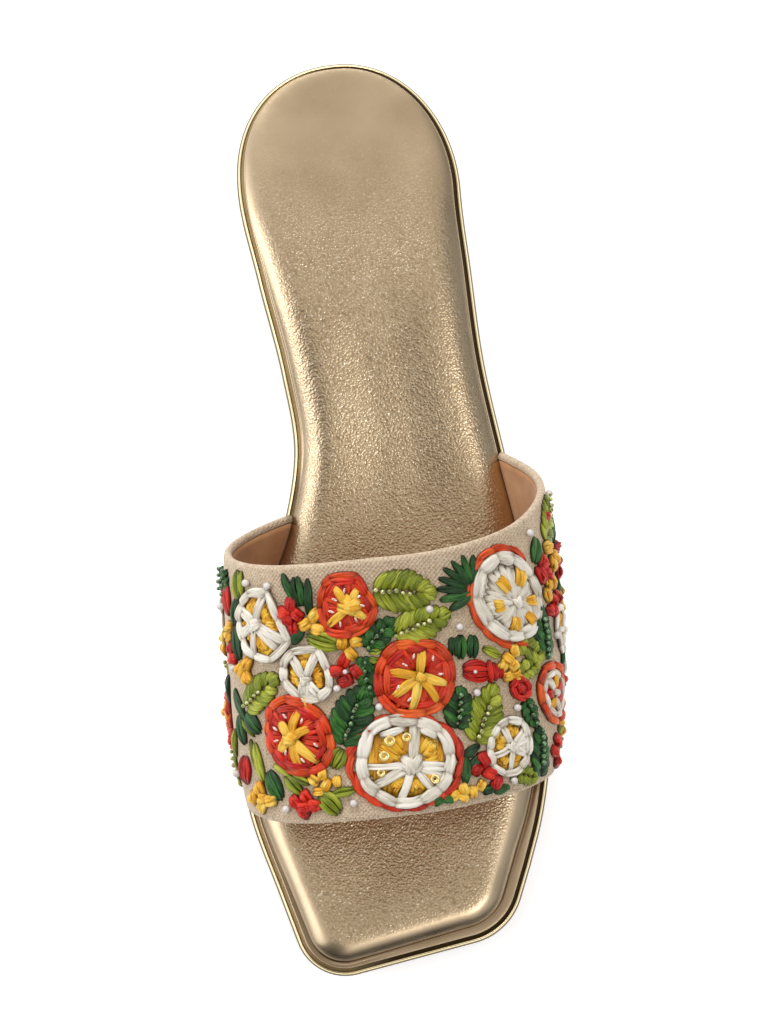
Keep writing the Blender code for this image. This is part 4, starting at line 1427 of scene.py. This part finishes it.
def make_sequins(cloth, material):
    """Thin cupped discs with a hole, sewn onto the big slice's flesh."""
    profile = ((0.3, 0.0), (0.65, 0.1), (1.0, 0.3), (1.0, 0.42), (0.65, 0.22), (0.3, 0.12))
    columns = 20
    points, faces = [], []
    heights = np.array([SEQUIN_HEIGHT, SEQUIN_HEIGHT + 1.0])
    for across, along, radius in SEQUINS:
        at, over = cloth.at(np.full(2, across), np.full(2, along), heights)
        turn = Vector(over - at).normalized().to_track_quat("Z", "Y").to_matrix()
        first = len(points)
        for reach, rise in profile:
            for c in range(columns):
                a = math.tau * c / columns
                local = Vector((radius * reach * math.cos(a), radius * reach * math.sin(a), rise))
                points.append(Vector(at) + turn @ local * MM)
        for r in range(len(profile)):
            low, high = first + r * columns, first + (r + 1) % len(profile) * columns
            for c in range(columns):
                on = (c + 1) % columns
                faces.append((low + c, low + on, high + on, high + c))
    made = new_mesh("sequins", points, faces, material)


# ---------------------------------------------------------------- studio


def make_floor():
    s = Shader("floor", linear(244, 246, 250), roughness=0.9)
    s.finish(Emission_Color=(1, 1, 1, 1), Emission_Strength=0.5)
    mesh = bpy.data.meshes.new("floor")
    size, clearance = 4.0, 0.0002
    corners = [(-size, -size, 0), (size, -size, 0), (size, size, 0), (-size, size, 0)]
    mesh.from_pydata(corners, [], [(0, 1, 2, 3)])
    mesh.materials.append(s.material)
    floor = bpy.data.objects.new("floor", mesh)
    bpy.context.scene.collection.objects.link(floor)
    floor.location.z = -clearance


LIGHT_TENT = (  # azimuth in degrees from the lateral side, and how bright the wall is there
    (-180, 1.7), (-162, 1.8), (-152, 0.3), (-138, 0.12), (-104, 0.12), (-86, 0.25), (-62, 0.6),
    (-40, 0.6), (-16, 0.55), (6, 0.5), (20, 0.3), (68, 0.35), (84, 1.4), (130, 1.4), (156, 1.3),
    (170, 1.6), (180, 1.7),
)
BRIGHTEST = 2.0
CEILING = (0.8, 0.755, 0.69)
CEILING_RANGE = {"From_Min": 0.5, "From_Max": 0.9}
LOW_WALLS = {"From_Min": 0.12, "From_Max": 0.25, "To_Min": 0.1, "To_Max": 1.0}  # darker near the floor
DARK_TILT = 0.42  # how much higher the dark reaches towards the toe
CEILING_SLOPE, TOE_SLOPE = -0.35, -0.7  # brighter towards the toe, and more so on the toe's side
DARK_CARD = {"From_Min": 0.88, "From_Max": 0.97, "To_Min": 1.0, "To_Max": 0.2}  # cosine, brightness
DARK_CARD_AT = (-0.34, -0.47, 0.81)  # over the toe's medial corner


def make_world():
    """A light tent: white walls with a few darker gaps, dark near the floor, a dimmer ceiling that is
    warm and brighter towards the toe, and a dark card over the toe's medial corner."""
    world = bpy.data.worlds.new("studio")
    world.use_nodes = True
    n = Nodes(world.node_tree)

    def smooth_range(value, limits):
        made = n.node("ShaderNodeMapRange", {"Value": value}, interpolation_type="SMOOTHSTEP", **limits)
        return made.outputs[0]

    way = n.node("ShaderNodeTexCoord").outputs["Generated"]
    x, y, z = n.node("ShaderNodeSeparateXYZ", {"Vector": way}).outputs
    turn = n.maths("MULTIPLY_ADD", n.maths("ARCTAN2", y, x), 1 / math.tau, 0.5)
    stops = [(azimuth / 360 + 0.5, (bright / BRIGHTEST,) * 3) for azimuth, bright in LIGHT_TENT]
    walls = n.ramp(turn, *stops, interpolation="EASE")
    forward = n.maths("MULTIPLY", y, n.maths("ABSOLUTE", y))
    low = smooth_range(n.maths("MULTIPLY_ADD", forward, DARK_TILT, z), LOW_WALLS)
    slope = n.maths("MULTIPLY_ADD", y, CEILING_SLOPE, 1.0)
    slope = n.maths("MULTIPLY_ADD", n.maths("MINIMUM", y, 0.0), TOE_SLOPE, slope)
    ceiling = n.scaled(tuple(value / BRIGHTEST for value in CEILING), slope)
    tent = n.mix(smooth_range(z, CEILING_RANGE), n.scaled(walls, low), ceiling)
    card = n.vector_maths("DOT_PRODUCT", way, DARK_CARD_AT).outputs["Value"]
    background = n.tree.nodes["Background"]
    n.tree.links.new(n.scaled(tent, smooth_range(card, DARK_CARD)), background.inputs["Color"])
    background.inputs["Strength"].default_value = BRIGHTEST
    bpy.context.scene.world = world


LIGHT_COLUMNS = "name position target size energy"
LIGHTS = (  # metres and watts
    ("left", (-1.05, 0.0, 0.6), (0.0, 0.0, 0.02), (0.35, 0.5), 1.4),
    ("key", (0.46, -0.68, 1.15), (0.0, -0.05, 0.02), (0.4, 0.3), 1.2),
    ("right", (0.66, -0.38, 1.1), (0.0, -0.05, 0.02), (0.4, 0.3), 1.25),
    ("back", (-0.1, 1.0, 0.85), (0.0, 0.0, 0.02), (0.8, 0.4), 6.0),
)


def area_light(name, position, target, size, energy):
    data = bpy.data.lights.new(name, "AREA")
    data.shape = "RECTANGLE"
    data.size, data.size_y = size
    data.energy = energy
    light = bpy.data.objects.new(name, data)
    bpy.context.scene.collection.objects.link(light)
    light.location = position
    way = Vector(target) - Vector(position)
    light.rotation_euler = way.to_track_quat("-Z", "Y").to_euler()


def make_camera():
    """Nearly overhead, from a little on the toe and medial sides, rolled as the sandal lies."""
    elevation, medial, roll = math.radians(84.0), math.radians(2.3), math.radians(-4.04)
    distance, pixels_per_mm, sensor, longest = 1.2, 3.62, 36.0, 1024
    target = Vector((0.0, 0.0, 0.012))
    level = math.cos(elevation)
    out = Vector((-level * math.sin(medial), -level * math.cos(medial), math.sin(elevation)))
    up = Vector((0, 1, 0))
    up = (up - out * up.dot(out)).normalized()
    right = up.cross(out)
    turned_right = right * math.cos(roll) + up * math.sin(roll)
    turned_up = up * math.cos(roll) - right * math.sin(roll)
    data = bpy.data.cameras.new("camera")
    data.sensor_width = sensor
    data.lens = pixels_per_mm * distance / MM / longest * sensor
    camera = bpy.data.objects.new("camera", data)
    bpy.context.scene.collection.objects.link(camera)
    turn = Matrix((turned_right, turned_up, out)).transposed().to_4x4()
    camera.matrix_world = Matrix.Translation(target + out * distance) @ turn
    bpy.context.scene.camera = camera


def finish_cad_nodes(rubber, gold):
    for name, material in (("outsole", rubber), ("heel", gold)):
        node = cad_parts[name]
        for material_slot in node.material_slots:
            material_slot.material = material


def build_embroidery(cloth):
    for name, tones in COLOURS.items():
        material = raffia(f"raffia_{name}", *(linear(*tone) for tone in tones))
        straw[name].build(f"raffia_{name}", cloth, material)
    green = glass_bead("bead_green", linear(34, 80, 40), linear(120, 160, 110))
    olive = glass_bead("bead_olive", linear(120, 128, 52), linear(230, 230, 170))
    clear = glass_bead("bead_clear", linear(226, 170, 160), linear(250, 236, 230))
    beads["dark_green"].build("beads_green", cloth, green)
    beads["light_green"].build("beads_olive", cloth, olive)
    glints.build("beads_clear", cloth, clear)
    pearls.build("pearls", cloth, pearl())
    make_sequins(cloth, glass_bead("sequin", linear(240, 206, 110), linear(252, 236, 170)))


def main():
    outline = sole_outline()
    finish_cad_nodes(sole_rubber(), heel_gold())
    make_rim(outline, polished_gold())
    make_footbed(outline, gold_leather())
    cloth = Cloth()
    make_strap(cloth, linen(), suede())
    embroider()
    build_embroidery(cloth)
    make_floor()
    make_world()
    for row in LIGHTS:
        area_light(**named(LIGHT_COLUMNS, row))
    make_camera()
    bpy.context.scene.view_settings.view_transform = "Standard"


main()
